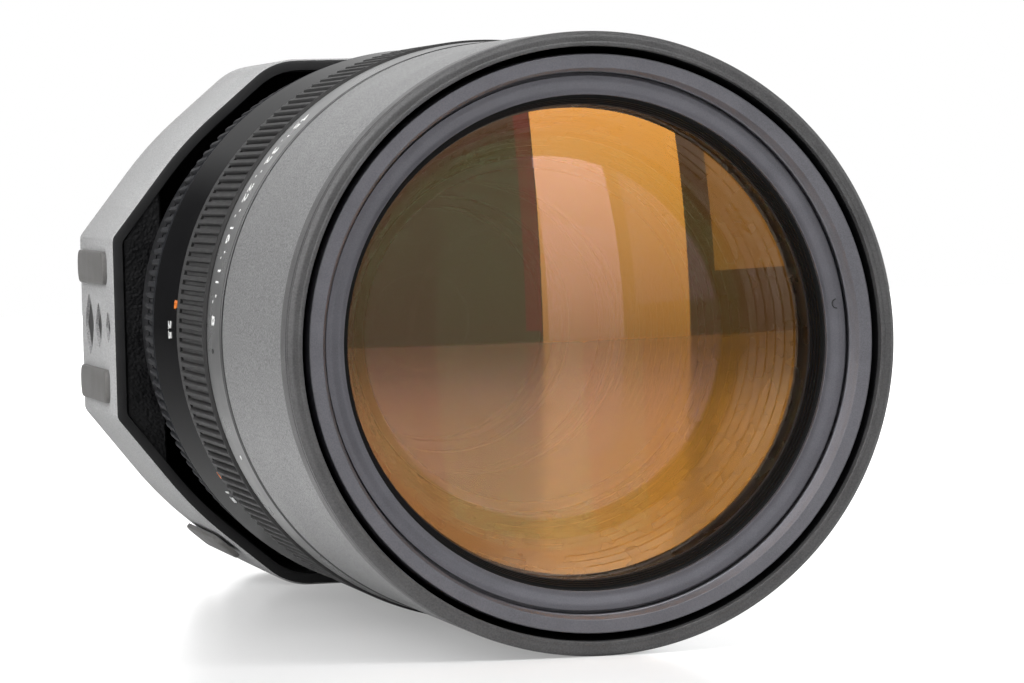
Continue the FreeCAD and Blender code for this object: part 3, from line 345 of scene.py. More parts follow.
paint("scale_grey", (0.07, 0.07, 0.071), (0.09, 0.09, 0.091), (0.26, 0.32), grain=0.12,
      depth=0.004, metallic=0.75)
paint("rib_grey", (0.02, 0.02, 0.0205), (0.035, 0.034, 0.034), (0.5, 0.6), grain=0.14, depth=0.01,
      specular=0.15)
paint("gloss_black", (0.0015, 0.0015, 0.002), (0.003, 0.003, 0.0035), (0.08, 0.11), grain=0.4,
      depth=0.001, specular=0.006)
paint("grip_blue_grey", (0.006, 0.006, 0.008), (0.012, 0.013, 0.016), (0.55, 0.65), grain=0.15,
      depth=0.01, specular=0.1)
paint("housing_grey", (0.27, 0.27, 0.272), (0.44, 0.44, 0.442), (0.52, 0.6), grain=0.3, depth=0.04,
      patch=12.0, specular=0.12, cloud=0.15)
paint("housing_rim", (0.007, 0.007, 0.0075), (0.012, 0.012, 0.0125), (0.4, 0.5), grain=0.2,
      depth=0.012, specular=0.25)
paint("recess_black", (0.002, 0.002, 0.002), (0.005, 0.005, 0.005), (0.6, 0.75), grain=0.2,
      depth=0.02, specular=0.15)
pebbled("panel", (0.004, 0.004, 0.0045), (0.009, 0.009, 0.0095))
paint("pad", (0.1, 0.097, 0.094), (0.14, 0.136, 0.131), (0.5, 0.62), grain=0.2, depth=0.015)
paint("insert", (0.012, 0.012, 0.012), (0.025, 0.024, 0.023), (0.5, 0.6))
turned_metal("mount_chrome", (0.66, 0.65, 0.63), 0.24)
turned_metal("bright_lip", (0.95, 0.94, 0.92), 0.42)
turned_metal("steel", (0.5, 0.5, 0.51), 0.3)
turned_metal("blade_steel", (0.06, 0.06, 0.065), 0.42)
turned_metal("brass", (0.62, 0.46, 0.2), 0.32)
paint("dot_red", (0.5, 0.02, 0.015), (0.62, 0.035, 0.02), (0.25, 0.3), coat=0.5)
paint("white_fill", (0.75, 0.75, 0.74), (0.86, 0.86, 0.85), (0.45, 0.55))
paint("orange_fill", (0.75, 0.16, 0.01), (0.9, 0.24, 0.02), (0.45, 0.55))
paint("black_fill", (0.005, 0.005, 0.005), (0.01, 0.01, 0.01), (0.4, 0.5))
coated_glass("front_glass", (1.0, 0.43, 0.15), (1.0, 0.42, 0.05), 0.25)
coated_glass("front_glass_rear", (0.9, 0.6, 0.7), (0.9, 0.6, 0.7), 0.015, 0.05)
coated_glass("second_glass", (0.75, 0.47, 0.72), (0.7, 0.48, 0.72), 0.115, 0.25)
coated_glass("second_glass_rear", (0.3, 0.8, 0.5), (0.3, 0.8, 0.5), 0.05, 0.12)
coated_glass("third_glass", (0.35, 0.8, 0.5), (0.35, 0.8, 0.5), 0.07, 0.15)
coated_glass("third_glass_rear", (0.9, 0.7, 0.5), (0.9, 0.7, 0.5), 0.03, 0.08)
coated_glass("rear_glass", (0.5, 0.4, 0.8), (0.5, 0.6, 0.7), 0.03, 0.06, (0.74, 0.69, 0.64))
coated_glass("rear_glass_rear", (0.8, 0.7, 0.5), (0.8, 0.7, 0.5), 0.02, 0.05, (0.74, 0.69, 0.64))

NODE_FINISH = {
    "lens_hood": "hood_paint", "hood_bumper_ring": "hood_rim", "filter_ring": "front_anodised",
    "name_ring": "front_ring_black", "front_light_trap": "flat_black",
    "front_element": "front_glass", "second_element": "second_glass",
    "third_element": "third_glass", "fourth_element": "rear_glass", "fifth_element": "rear_glass",
    "aperture_scale_ring": "scale_grey", "aperture_ring": "rib_grey",
    "focus_ring": "gloss_black", "focus_grip": "grip_blue_grey", "rear_housing": "housing_grey",
    "side_panel_left": "panel", "side_panel_right": "panel", "grip_pads": "pad",
    "hood_felt": "felt", "front_cell": "cell_black", "front_retainer": "cell_black",
    "spacer_front": "cell_black", "spacer_rear": "cell_black", "front_light_tube": "flat_black",
    "front_barrel": "barrel_black", "aperture_link": "steel", "detent_ball": "steel",
    "detent_spring": "steel", "iris_housing": "cell_black", "iris_cover": "cell_black",
    "iris_cam_ring": "brass", "rear_cell": "cell_black", "spacer_cell": "cell_black",
    "focus_ring_screws": "steel", "fixed_barrel": "barrel_black", "guide_keys": "brass",
    "index_ring": "barrel_black", "index_ring_screws": "steel", "rear_tube": "barrel_black",
    "rear_light_trap": "flat_black", "slot_inserts": "insert", "mount_flange": "mount_chrome",
    "mount_screws": "steel", "mount_index_dot": "dot_red",
}


def finish_nodes():
    """Every CAD node gets its material, whether it shows or a piece stands for it."""
    for name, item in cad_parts.items():
        finish = "blade_steel" if name.startswith("iris_blade") else NODE_FINISH[name]
        item.data.materials.clear()
        item.data.materials.append(MATERIALS[finish])
        item.data.polygons.foreach_set("material_index", [0] * len(item.data.polygons))


# ---------------------------------------------------------------- the front

def hood():
    """The sliding hood, dark at its front edge and inside, and its bumper ring."""
    front, rear, bore, rim = ring_size("lens_hood")
    lathe("hood_shell", [(front, bore), (front, rim - 0.45, 0.1), (front + 0.5, rim - 0.2, 0.3),
                         (front + 4.4, rim - 0.19, 0.05), (rear - 0.5, rim, 0.25),
                         (rear, rim - 0.35, 0.2), (rear, bore)],
          "lens_hood", ["hood_paint", "felt", "hood_rim"],
          ["lens_hood"], shades=(2, 2, 2, 0, 0, 0, 1))
    front, rear, bore, rim = ring_size("hood_bumper_ring")
    lathe("hood_bumper", [(front, bore, 0.25), (front, bore + 0.5, 0.1),
                          (front + 0.12, bore + 0.7, 0.1), (front + 0.05, rim - 0.75, 0.3),
                          (front + 0.75, rim, 0.35), (rear - 0.2, rim, 0.1),
                          (rear, rim - 0.15, 0.1), (rear, bore, 0.1)],
          "lens_hood", "hood_rim", ["hood_bumper_ring"])


def front_rings():
    """The filter thread ring, the blank name ring with its hole, and the ridged light trap."""
    front, rear, bore, rim = ring_size("filter_ring")
    thread = []
    station = front + 0.6
    wall = THREAD_RADIUS
    while station < front + 3.3:
        thread += [(station, wall + 0.02, 0.02), (station + 0.3, wall + THREAD_CUT, 0.02)]
        station += THREAD_PITCH
    corners = [(front, wall + 0.45, 0.1), (front, rim - 0.2, 0.25), (front + 3.0, rim, 0.15),
               (front + 3.0, wall + 0.6), (rear, wall + 0.6), (rear, bore),
               (front + 5.0, bore), (front + 5.0, wall - 0.1), (front + 3.5, wall - 0.1)]
    lathe("filter_thread_ring", corners + thread[::-1], "focus_barrel",
          "front_anodised", ["filter_ring"])
    front, rear, bore, rim = ring_size("name_ring")
    lathe("front_name_ring", [(front + 0.4, bore, 0.12), (front + 0.55, bore + 0.75, 0.3),
                              (front + 0.05, rim - 0.95, 0.3), (front, rim, 0.1), (rear - 0.1, rim),
                              (rear - 0.1, bore + 1.2), (rear, bore + 1.2), (rear, bore)],
          "focus_barrel", "front_ring_black", ["name_ring"])
    hole_angle, hole_radius = math.radians(7.0), 39.35
    disc("name_ring_hole", hole_angle, hole_radius, front + 0.12, 0.62)
    front, rear, bore, rim = ring_size("front_light_trap")
    ridges = []
    count, widest = 4, 37.1
    for index in range(count):
        station = rear + (front - rear) * index / count
        radius = bore + (widest - bore) * index / count
        ridges += [(station, radius, 0.04), (station - 0.55, radius + 0.04, 0.04),
                   (station - 0.6, radius + 0.4, 0.04)]
    lathe("front_light_trap_ridges", [(front, 37.6, 0.1), (front, rim), (rear, rim)] + ridges,
          "focus_barrel", "flat_black", ["front_light_trap"])


def cell_ridges():
    """The front cell: behind the front glass its inside is a ridged cone down to a bright lip."""
    front, rear, _, rim = ring_size("front_cell")
    ridges = []
    start, end, narrow, wide, count = rear - 1.2, -197.2, 28.0, 35.9, 11
    pitch, step = (start - end) / count, (wide - narrow) / count
    for index in range(count):
        station = start - pitch * index
        radius = narrow + (wide - narrow) * index / count
        ridges += [(station, radius, 0.08), (station - pitch * 0.3, radius + 0.05, 0.08),
                   (station - pitch * 0.55, radius + step + 0.45, 0.1),
                   (station - pitch * 0.95, radius + step + 0.45, 0.05)]
    corners = [(front, rim - 2.8), (front, rim), (rear, rim), (rear, narrow)] + ridges
    corners.append((-197.3, rim - 2.9))
    lathe("front_cell_ridges", corners, "focus_barrel", "ridge_black",
          ["front_cell", "spacer_front", "spacer_rear"])
    lathe("front_cell_lip", [(start - 1.5, narrow - 1.3, 0.7), (start - 1.5, narrow + 0.3, 0.6),
                             (start + 0.5, narrow - 0.02, 0.1), (start + 0.5, narrow - 1.3, 0.4)],
          "focus_barrel", "bright_lip")


def disc(name, angle, radius, station, size):
    """A small dark dished hole in a front face."""
    rows = [(size * 1.25, 0.0), (size, 0.01), (size * 0.9, 0.5), (0.02, 0.5)]
    round_count = 32
    turns = np.linspace(0, 2 * np.pi, round_count, endpoint=False)
    centre = np.array([radius * math.cos(angle), station, radius * math.sin(angle)])
    vertices = [centre + (reach * math.cos(turn), depth - 0.03, reach * math.sin(turn))
                for turn in turns for reach, depth in rows]
    piece = add_piece(name, vertices, grid_faces(round_count, len(rows), False),
                      "focus_barrel", "black_fill")
    shade_by_angle(piece.data, 30)


def dome(radius, edge, curve, rings=30):
    """One spherical face from its edge to the axis: stations, radii and outline normals. A
    positive curve has its centre behind the face."""
    reach = np.linspace(radius, 0.0, rings)
    side = math.copysign(1.0, curve)
    depth = np.sqrt(curve ** 2 - reach ** 2) - math.sqrt(curve ** 2 - radius ** 2)
    return edge - side * depth, reach, np.stack([np.sqrt(1 - (reach / curve) ** 2),
                                                 -reach / curve], axis=-1)


def glass(name, node_name, front_curve, rear_curve, finish):
    """A lens element with exact spherical faces between the CAD element's edges."""
    rim = ring_size(node_name)[3]
    points = points_of(node_name)
    edge = points[np.hypot(points[:, 0], points[:, 2]) > rim - 0.01][:, 1]
    turns = 240
    angles = np.linspace(0, 2 * np.pi, turns, endpoint=False)
    vertices, faces, directions = [], [], []
    for station, curve, facing in ((edge.min(), front_curve, -1), (edge.max(), rear_curve, 1)):
        stations, reach, normals = dome(rim, station, curve)
        normals = normals * facing
        start = len(vertices)
        for angle in angles:
            cos, sin = math.cos(angle), math.sin(angle)
            vertices += [(r * cos, s, r * sin) for s, r in zip(stations, reach)]
            directions += [(n * cos, a, n * sin) for a, n in normals]
        for face in grid_faces(turns, len(stations), False):
            shifted = tuple(start + index for index in face)
            faces.append(shifted[::-1] if facing < 0 else shifted)
    piece = add_piece(name, vertices, faces, "focus_barrel",
                      [finish, finish + "_rear"], [node_name])
    shade_exactly(piece.data, np.array(directions))
    half = len(faces) // 2
    piece.data.polygons.foreach_set("material_index", [0] * half + [1] * half)


def all_glass():
    """The five elements, with the radii of their front and rear faces."""
    glass("front_glass", "front_element", 240.0, -600.0, "front_glass")
    glass("second_glass", "second_element", 110.0, -300.0, "second_glass")
    glass("third_glass", "third_element", -160.0, -78.0, "third_glass")
    glass("fourth_glass", "fourth_element", -120.0, 60.0, "rear_glass")
    glass("fifth_glass", "fifth_element", 90.0, 200.0, "rear_glass")


# ---------------------------------------------------------------- the rings behind the hood

def aperture_scale():
    """The scale ring, its numerals with dots between them, and its index pin."""
    front, rear, bore, rim = ring_size("aperture_scale_ring")
    lathe("aperture_scale", [(front, bore), (front, rim - 0.55, 0.12),
                             (front + 0.2, rim - 0.3, 0.15), (rear - 0.25, rim, 0.15),
                             (rear, rim - 0.25, 0.12), (rear, bore)],
          "focus_barrel", "scale_grey", ["aperture_scale_ring"])
    white = Glyphs()
    surface = rim - 0.12
    middle = front + 6.0
    for index, text in enumerate(STOPS):
        angle = WIDEST_STOP - STOP_STEP * (len(STOPS) - 1 - index)
        white.text(text, angle, middle, surface, 2.7)
        if index < len(STOPS) - 1:
            white.dot(angle + 3.85, middle - 0.9, surface, 0.24)
            white.dot(angle + 5.0, middle + 1.2, surface, 0.24)
    white.dot(203.5, middle - 0.8, surface, 0.38)
    white.piece("aperture_numerals", "focus_barrel", "white_fill", "scale_grey")
    index_mark = Glyphs()
    index_mark.dot(182.0, middle + 0.6, surface, 0.38, 0.6)
    index_mark.piece("aperture_index_pin", "focus_barrel", "black_fill", "scale_grey")


class Glyphs:
    """Thin numerals and dots laid on a cylinder, gathered into one mesh."""

    def __init__(self):
        self.vertices = []
        self.faces = []

    def text(self, words, angle, station, radius, height, thickness=0.05):
        curve = bpy.data.curves.new("glyph", "FONT")
        curve.body = words
        curve.size = height * 1.38
        curve.align_x = "CENTER"
        curve.align_y = "CENTER"
        curve.extrude = thickness
        curve.resolution_u = 4
        holder = placed("glyph", curve)
        mesh = bpy.data.meshes.new_from_object(holder)
        start = len(self.vertices)
        for vertex in mesh.vertices:
            turn = math.radians(angle) + vertex.co.x / radius
            reach = radius + vertex.co.z
            self.vertices.append((reach * math.cos(turn), station - vertex.co.y,
                                  reach * math.sin(turn)))
        self.faces += [tuple(start + i for i in face.vertices) for face in mesh.polygons]
        bpy.data.objects.remove(holder)
        bpy.data.curves.remove(curve)
        bpy.data.meshes.remove(mesh)

    def dot(self, angle, station, radius, size, length=None):
        """A filled round spot, or a bar if it has a length along the axis."""
        start = len(self.vertices)
        count = 20
        stretch = (length or size) / size
        for level in (-0.05, 0.05):
            for step in range(count):
                turn = 2 * math.pi * step / count
                here = math.radians(angle) + size * math.cos(turn) / radius
                self.vertices.append(((radius + level) * math.cos(here),
                                      station + size * stretch * math.sin(turn),
                                      (radius + level) * math.sin(here)))
        self.faces.append(tuple(start + count + step for step in range(count))[::-1])
        self.faces.append(tuple(start + step for step in range(count)))
        self.faces += [(start + step, start + (step + 1) % count,
                        start + count + (step + 1) % count, start + count + step)[::-1]
                       for step in range(count)]

    def piece(self, name, body, finish, slot):
        add_piece(name, self.vertices, self.faces, body, finish)


def ribbed(name, node_name, rib_count, body, finish, lead, tail, depth, taper=0.0,
           collar=0.0, notch=0.0):
    """A ring with rounded lengthwise ribs between a smooth lead and tail. A notch is a length
    of deeper grooves just before the tail; a collar lowers the tail."""
    front, rear, bore, rim = ring_size(node_name)
    per_rib = 12
    angles = np.linspace(0, 2 * np.pi, rib_count * per_rib, endpoint=False)
    wave = np.arange(len(angles)) % per_rib / per_rib
    inside = np.clip(np.minimum(np.abs(wave - 0.5), 0.34) / 0.34, 0, 1)
    crest = np.clip((inside - 0.5) * 2.6, 0, 1)
    crest = crest * crest * (3 - 2 * crest)

    def radius_at(key, _):
        base, share = key
        return base - depth * share * (1 - crest)

    end = rear - tail
    slope = taper / (rear - front)
    sections = [(front, (bore, 0)), (front, (rim - 0.5, 0)), (front + 0.25, (rim - 0.12, 0)),
                (front + 0.5, (rim, 0)), (front + lead, (rim, 0)),
                (front + lead + 0.35, (rim - slope * lead, 0.8)),
                (front + lead + 0.8, (rim - slope * lead, 1.0))]
    if notch:
        sections += [(end - notch, (rim - slope * (end - front), 1.0)),
                     (end - notch + 0.15, (rim - 0.15, 1.9)),
                     (end - 0.1, (rim - 0.3, 1.9)), (end, (rim - collar, 0))]
    else:
        sections += [(end - 0.4, (rim - slope * (end - front), 1.0)),
                     (end, (rim - slope * (end - front) - 0.1, 0.9))]
    last = rim - collar - slope * (rear - front)
    if tail > 0.3:
        sections += [(rear - 0.3, (last, 0)), (rear, (last - 0.3, 0))]
    else:
        sections += [(rear, (last - 0.35, 0.4))]
    sections += [(rear, (bore, 0))]
    radial(name, sections, radius_at, angles, body, finish, [node_name], sharp=32)


def aperture_grip():
    ribbed("aperture_grip", "aperture_ring", 184, "aperture_ring", "rib_grey",
           lead=0.9, tail=3.2, depth=0.75, collar=0.55, notch=1.5)


def focus_rings():
    """The gloss distance-scale ring with its numerals, and the ribbed grip behind it."""
    front, rear, bore, _ = ring_size("focus_ring")
    points = points_of("focus_ring")
    radii = np.hypot(points[:, 0], points[:, 2])
    nose = radii[points[:, 1] < front + 2.0].max()
    widest = radii.max()
    shoulder = points[radii > widest - 0.05][:, 1].max()
    core = radii[points[:, 1] > rear - 0.5].max()
    mouth = radii[points[:, 1] > rear - 0.5].min()
    lathe("focus_scale", [(front, bore), (front, nose - 0.5, 0.1), (front + 0.4, nose - 0.05, 0.2),
                          (front + 1.6, nose, 0.3), (shoulder - 0.4, widest, 0.3),
                          (shoulder, widest - 0.3, 0.15), (shoulder, core), (rear, core),
                          (rear, mouth), (front + 9.0, mouth), (front + 9.0, bore)],
          "focus_ring", "gloss_black", ["focus_ring"])
    ribbed("focus_grip_ribs", "focus_grip", 150, "focus_ring", "grip_blue_grey",
           lead=0.7, tail=0.0, depth=0.75, taper=0.9)
    white, orange = Glyphs(), Glyphs()
    slope = (widest - nose) / (shoulder - front - 1.6)
    for index, (metres, feet) in enumerate(DISTANCES):
        angle = FIRST_DISTANCE + DISTANCE_STEP * index
        for glyphs, words, offset, along in ((white, metres, 0.0, 9.0), (orange, feet, -5.5, 5.2)):
            surface = nose + slope * (along - 1.6) + 0.02
            glyphs.text(words, angle + offset, front + along, surface, 2.5, 0.1)
    white.piece("distance_metres", "focus_ring", "white_fill", "gloss_black")
    orange.piece("distance_feet", "focus_ring", "orange_fill", "gloss_black")


# ---------------------------------------------------------------- the rear housing

def outline(corners, samples=1440):
    """Radii at evenly spaced angles of a closed outline given as rounded corners (x, z, r)."""
    dense = []
    count = len(corners)
    for index, (x, z, soft) in enumerate(corners):
        here = np.array([x, z])
        before = np.array(corners[index - 1][:2]) - here
        after = np.array(corners[(index + 1) % count][:2]) - here
        half = math.acos(np.clip(before @ after / np.linalg.norm(before) / np.linalg.norm(after),
                                 -1, 1)) / 2
        cut = min(soft / math.tan(half), 0.49 * min(np.linalg.norm(before), np.linalg.norm(after)))
        start = here + before / np.linalg.norm(before) * cut
        end = here + after / np.linalg.norm(after) * cut
        for share in np.linspace(0, 1, 13):
            dense.append((1 - share) ** 2 * start + 2 * share * (1 - share) * here
                         + share ** 2 * end)
    dense = np.array(dense)
    refined = np.concatenate([np.linspace(dense[i], dense[(i + 1) % len(dense)], 40, False)
                              for i in range(len(dense))])
    turns = np.unwrap(np.arctan2(refined[:, 1], refined[:, 0]))
    order = np.argsort(turns % (2 * np.pi))
    around = (turns % (2 * np.pi))[order]
    reach = np.hypot(refined[:, 0], refined[:, 1])[order]
    angles = np.linspace(0, 2 * np.pi, samples, endpoint=False)
    return angles, np.interp(angles, around, reach, period=2 * np.pi)


def mirrored(quarter):
    """A closed outline from the corners of its first quarter."""
    corners = list(quarter)
    corners += [(-x, z, r) for x, z, r in quarter[::-1]]
    corners += [(-x, -z, r) for x, z, r in quarter]
    corners += [(x, -z, r) for x, z, r in quarter[::-1]]
    return corners


def octagon(inset=0.0):
    """The housing's outline: side flats, bowed diagonals and top flats, moved in by an inset."""
    wide, tall = HALF_WIDTH - inset, HALF_HEIGHT - inset
    side, top = 16.65 - inset * 0.4, 18.0 - inset * 0.4
    bow_x, bow_z = 35.15 - inset * 0.72, 34.3 - inset * 0.69
    return mirrored([(wide, side, 2.2), (bow_x, bow_z, 70.0), (top, tall, 12.0)])


def cheeks():
    """The recess outline: the octagon's inside, cut off by the two side cheeks."""
    return mirrored([(CHEEK, 26.2, 0.6), (33.4, 32.6, 60.0), (17.4, 46.5, 10.0)])


def housing():
    """The octagonal shell with its rim and recess, the diamond slots, coverings and pads."""
    front, rear = HOUSING_LOW.y / MM, HOUSING_HIGH.y / MM
    rim_inset = 2.0
    angles, outer = outline(octagon())
    shapes = {"outer": outer, "edge": outline(octagon(0.25))[1], "face": outline(octagon(0.75))[1],
              "seat": outline(octagon(rim_inset))[1], "recess": outline(cheeks())[1],
              "hole": np.full(len(angles), 33.0)}
    shapes["recess"] = np.minimum(shapes["recess"], shapes["seat"] - 0.02)
    wall = 3.0
    sections = [(rear, "hole"), (rear, "face"), (rear - 0.25, "edge"), (rear - 0.75, "outer"),
                (front + 0.7, "outer"), (front + 0.22, "edge"), (front, "face"), (front, "seat"),
                (front + RIM_SET_BACK, "seat"), (front + RIM_SET_BACK, "recess"),
                (rear - wall, "recess"), (rear - wall, "hole")]
    shades = [0, 0, 0, 0, 0, 1, 1, 1, 2, 2, 2, 2]
    finishes = ["housing_grey", "housing_rim", "recess_black"]
    shell = radial("housing_shell", sections, lambda key, _: shapes[key], angles, "mount_body",
                   finishes, ["rear_housing"], sharp=28, shades=shades,
                   centre=(0, DROP))
    for side in (-1, 1):
        for station, half_long, half_tall in SLOTS:
            cut_slot(shell, side, station, half_long, half_tall)
    shade_by_angle(shell.data, 28)
    for name, side in (("side_panel_left", -1), ("side_panel_right", 1)):
        side_panel(name, side, front)
    pads()


def cut_slot(shell, side, station, half_long, half_tall):
    """A rounded diamond window through one side face, over the CAD's dark insert."""
    rim = []
    for quadrant in range(4):
        for step in range(8):
            turn = math.pi / 2 * (quadrant + step / 8)
            along = abs(math.cos(turn)) ** 1.45 * math.copysign(1, math.cos(turn))
            up = abs(math.sin(turn)) ** 1.45 * math.copysign(1, math.sin(turn))
            rim.append((station + half_long * along, DROP + half_tall * up))
    vertices = [(side * x, y, z) for x in (HALF_WIDTH - SLOT_DEPTH, HALF_WIDTH + 3.0)
                for y, z in rim]
    count = len(rim)
    faces = [(i, (i + 1) % count, count + (i + 1) % count, count + i) for i in range(count)]
    faces += [tuple(range(count))[::-1], tuple(range(count, 2 * count))]
    mesh = bpy.data.meshes.new("slot_cutter")
    mesh.from_pydata((np.array(vertices) * MM).tolist(), [], faces)
    builder = bmesh.new()
    builder.from_mesh(mesh)
    bmesh.ops.recalc_face_normals(builder, faces=builder.faces)
    builder.to_mesh(mesh)
    builder.free()
    cutter = placed("slot_cutter", mesh)
    change = shell.modifiers.new("slot", "BOOLEAN")
    change.operation = "DIFFERENCE"
    change.solver = "EXACT"
    change.object = cutter
    bpy.context.view_layer.objects.active = shell
    with bpy.context.temp_override(object=shell, active_object=shell):
        bpy.ops.object.modifier_apply(modifier=change.name)
    bpy.data.objects.remove(cutter)
    bpy.data.meshes.remove(mesh)


def side_panel(name, side, front):
    """A pebbled covering slab that fills the face between the rim and the recess."""
    across, along = 60, 400
    inner, outer_edge = CHEEK + 0.05, HALF_WIDTH - 2.1
    thickness = 0.9
    inner_half, outer_half = 26.0, 15.7
    vertices, faces = [], []
    for row in range(along + 1):
        share = row / along * 2 - 1
        for column in range(across + 1):
            u = column / across
            half = inner_half + (outer_half - inner_half) * u
            x, z = inner + (outer_edge - inner) * u, share * half
            margin = min(column, across - column, row, along - row) / 3.0
            spot = Vector((x * 1.9, z * 1.9, 3.0 * side))
            pebble = noise.voronoi(spot)[0][0]
            height = thickness - 0.28 * pebble if margin >= 1 else thickness * 0.55 * margin
            vertices.append((side * x, front + RIM_SET_BACK - height, z + DROP))
    for row in range(along):
        for column in range(across):
            corner = row * (across + 1) + column
            quad = (corner, corner + 1, corner + across + 2, corner + across + 1)
            faces.append(quad if side > 0 else quad[::-1])
    piece = add_piece(name + "_covering", vertices, faces, "mount_body", "panel",
                      [name])
    shade_by_angle(piece.data, 60)


def pads():
    """Six rounded rubber bars, two on each side flat and one on each lower diagonal."""
    solids = islands("grip_pads")
    builder = bmesh.new()
    for points in solids:
        soft_bar(builder, points)
    mesh = bpy.data.meshes.new("grip_pad_bars")
    builder.to_mesh(mesh)
    builder.free()
    piece = placed("grip_pad_bars", mesh)
    mesh.materials.append(MATERIALS["pad"])
    shade_by_angle(mesh, 30)
    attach(piece, "mount_body")
    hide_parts("grip_pads")


def islands(node_name):
    """The separate solids of a CAD node, as arrays of their points in millimetres."""
    source = bmesh.new()
    source.from_mesh(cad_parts[node_name].data)
    bmesh.ops.remove_doubles(source, verts=source.verts, dist=1e-6)
    left, found = dict.fromkeys(source.verts), []
    while left:
        seed = next(iter(left))
        del left[seed]
        group, queue = [seed], [seed]
        while queue:
            for edge in queue.pop().link_edges:
                for vertex in edge.verts:
                    if vertex in left:
                        del left[vertex]
                        group.append(vertex)
                        queue.append(vertex)
        found.append(np.array([v.co for v in group]) / MM)
    source.free()
    return found


def soft_bar(builder, points, corner=2.0):
    """A bar with rounded ends and softened edges that fills the place of a flat CAD bar."""
    centre = points.mean(0)
    _, _, axes = np.linalg.svd(points - centre, full_matrices=False)
    spread = (points - centre) @ axes.T
    size = spread.max(0) - spread.min(0)
    middle = centre + ((spread.max(0) + spread.min(0)) / 2) @ axes
    away = axes[2] * np.sign(axes[2] @ np.array([middle[0], 0, middle[2]]))
    side = np.cross(away, axes[0])
    rings = []
    for lift, inset in ((-0.5, 0.0), (0.1, 0.0), (0.3, 0.08), (0.43, 0.3), (0.5, 0.65)):
        ring = []
        half_long, half_wide = size[0] / 2 - inset, size[1] / 2 - inset
        for quadrant in range(4):
            sx = 1 if quadrant in (0, 3) else -1
            sy = 1 if quadrant in (0, 1) else -1
            for step in range(7):
                turn = math.pi / 2 * (quadrant + step / 6)
                x = sx * (half_long - corner) + corner * math.cos(turn)
                y = sy * (half_wide - corner) + corner * math.sin(turn)
                spot = middle + axes[0] * x + side * y + away * (lift * size[2])
                ring.append(builder.verts.new((spot * MM).tolist()))
        rings.append(ring)
    count = len(rings[0])
    for lower, upper in zip(rings, rings[1:]):
        for index in range(count):
            beside = (index + 1) % count
            builder.faces.new((lower[index], lower[beside], upper[beside], upper[index]))
    builder.faces.new(rings[-1])
    builder.faces.new(rings[0][::-1])


# ---------------------------------------------------------------- stage, light and camera

def softbox(name, azimuths, elevations, distance, radiance, colour=(1, 1, 1)):
    """A lit panel that faces the front glass and fills a range of directions seen from it.
    Azimuths are in degrees from straight ahead towards +X, elevations from the horizon, and
    radiance is a pair, for the panel's lower and upper edge."""
    left, right = (math.radians(angle) for angle in azimuths)
    bottom, top = (math.radians(angle) for angle in elevations)
    corners = []
    for azimuth, elevation in ((left, bottom), (right, bottom), (right, top), (left, top)):
        ahead = distance * math.cos((right - left) / 2) / math.cos(azimuth - (left + right) / 2)
        corners.append((ahead * math.sin(azimuth), FRONT_GLASS - ahead * math.cos(azimuth),
                        ahead * math.tan(elevation)))
    mesh = bpy.data.meshes.new(name)
    mesh.from_pydata([tuple(value * MM for value in corner) for corner in corners], [],
                     [(0, 1, 2, 3)])
    panel = placed(name, mesh)
    material = bpy.data.materials.new(name)
    material.use_nodes = True
    tree = material.node_tree
    tree.nodes.remove(tree.nodes["Principled BSDF"])
    place = node(tree, "ShaderNodeTexCoord").outputs["Object"]
    split = node(tree, "ShaderNodeSeparateXYZ", {"Vector": place})
    lit = node(tree, "ShaderNodeMapRange", {
        "Value": split.outputs["Z"], "From Min": corners[0][2] * MM,
        "From Max": corners[2][2] * MM, "To Min": radiance[0], "To Max": radiance[1]})
    glow = node(tree, "ShaderNodeEmission", {"Color": (*colour, 1),
                                             "Strength": lit.outputs["Result"]})
    tree.links.new(glow.outputs[0], tree.nodes["Material Output"].inputs["Surface"])
    mesh.materials.append(material)
    panel.visible_camera = False
    panel.visible_shadow = False


def studio():
    """A white table, a backdrop that is white to the eye, and softboxes round the front."""
    world = bpy.data.worlds.new("studio")
    bpy.context.scene.world = world
    world.use_nodes = True
    tree = world.node_tree
    background = tree.nodes["Background"]
    direction = node(tree, "ShaderNodeTexCoord").outputs["Generated"]
    split = node(tree, "ShaderNodeSeparateXYZ", {"Vector": direction})
    behind = between(tree, split.outputs["Y"], 0.0, 1.0, 0.35, 0.6)
    sheet = between(tree, split.outputs["X"], 0.0, 1.0, -0.24, -0.15)
    both = node(tree, "ShaderNodeMath", {0: behind, 1: sheet}, operation="MULTIPLY").outputs[0]
    lit = between(tree, both, 0.2, 1.1, 0.0, 1.0)
    sight = node(tree, "ShaderNodeLightPath").outputs["Is Camera Ray"]
    strength = node(tree, "ShaderNodeMix", {0: sight, 2: lit, 3: 1.0})
    tree.links.new(strength.outputs[0], background.inputs["Strength"])
    background.inputs["Color"].default_value = (1, 1, 1, 1)
    table()
    softbox("window_main", (10.0, 24.2), (-4, 32), 1000, (0.8, 4.0))
    softbox("window_small", (26.8, 48), (3.8, 30), 1000, (0.6, 1.1))
    softbox("window_edge", (8.4, 9.9), (-1, 30), 1000, (0.35, 0.5), (0.9, 0.35, 0.5))
    softbox("key_left", (-100, -62), (22, 70), 800, (3.5, 8.0))
    softbox("top_soft", (-30, 50), (45, 62), 900, (9.0, 9.0))
    softbox("front_fill", (-58, -36), (6, 44), 900, (3.0, 5.0))
    softbox("low_fill", (-100, -60), (1, 18), 800, (3.0, 3.5))
    softbox("right_soft", (80, 120), (0, 45), 800, (1.5, 1.5))


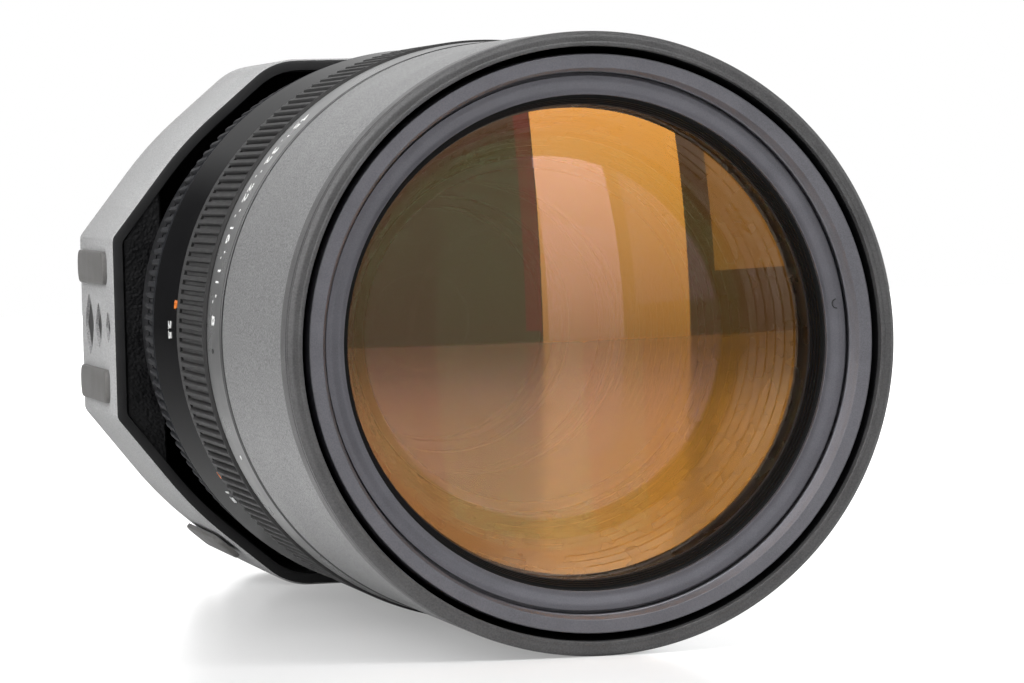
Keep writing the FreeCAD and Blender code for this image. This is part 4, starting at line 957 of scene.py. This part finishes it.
def table():
    """The glossy white table, which touches the hood's front edge and the housing's flat. Its base
    colour darkens away from that touch point, and to the camera alone it glows, weakly near the
    lens and strongly far off: painted light.
    """
    hood_front, _, _, hood_rim = ring_size("hood_bumper_ring")
    nose = (hood_front + 1.0, -hood_rim)
    heel = (HOUSING_LOW.y / MM, HOUSING_LOW.z / MM)
    tilt = math.atan2(heel[1] - nose[1], heel[0] - nose[0])
    mesh = bpy.data.meshes.new("table")
    reach, ahead = 4000 * MM, 870 * MM
    mesh.from_pydata([(-reach, -ahead, 0), (reach, -ahead, 0), (reach, reach, 0),
                      (-reach, reach, 0)], [], [(0, 1, 2, 3)])
    floor = placed("table", mesh)
    floor.location = (0, nose[0] * MM, nose[1] * MM)
    floor.rotation_euler = (tilt, 0, 0)
    tree, shader, place = new_material("white_table_with_painted_glow")
    far = node(tree, "ShaderNodeVectorMath", {0: place}, operation="LENGTH").outputs["Value"]
    # base colour darker from 180 mm to 420 mm away from where the hood's front touches
    share = between(tree, far, 0.0, 1.0, 180.0, 420.0)
    tree.links.new(tone(tree, share, (0.92, 0.92, 0.92), (0.62, 0.62, 0.62), 0.0, 1.0),
                   shader.inputs["Base Color"])
    shader.inputs["Roughness"].default_value = 0.16
    shader.inputs["Emission Color"].default_value = (1, 1, 1, 1)
    # painted light: emission seen by camera rays alone, rising from 0.3 to 0.9 between 150 mm and
    # 900 mm from that point
    glow = between(tree, far, 0.3, 0.9, 150.0, 900.0)
    sight = node(tree, "ShaderNodeLightPath").outputs["Is Camera Ray"]
    tree.links.new(node(tree, "ShaderNodeMath", {0: glow, 1: sight},
                        operation="MULTIPLY").outputs[0], shader.inputs["Emission Strength"])
    mesh.materials.append(MATERIALS["white_table_with_painted_glow"])


def camera():
    """The camera, at the angle and distance that put the lens where it is seen."""
    data = bpy.data.cameras.new("camera")
    eye = placed("camera", data)
    azimuth, elevation = math.radians(VIEW_AZIMUTH), math.radians(VIEW_ELEVATION)
    back = Vector((math.sin(azimuth) * math.cos(elevation),
                   -math.cos(azimuth) * math.cos(elevation), math.sin(elevation)))
    eye.location = (Vector(VIEW_TARGET) + back * VIEW_DISTANCE) * MM
    turn = (-back).to_track_quat("-Z", "Y").to_matrix().to_4x4()
    roll = Matrix.Rotation(math.radians(VIEW_ROLL), 4, "Z")
    eye.rotation_euler = (turn @ roll).to_euler()
    data.sensor_width = 36.0
    data.lens = FOCAL_LENGTH
    data.clip_start, data.clip_end = 0.01, 20.0
    bpy.context.scene.camera = eye
    bpy.context.scene.view_settings.view_transform = "Standard"


finish_nodes()
hood()
front_rings()
cell_ridges()
all_glass()
aperture_scale()
aperture_grip()
focus_rings()
housing()
studio()
camera()
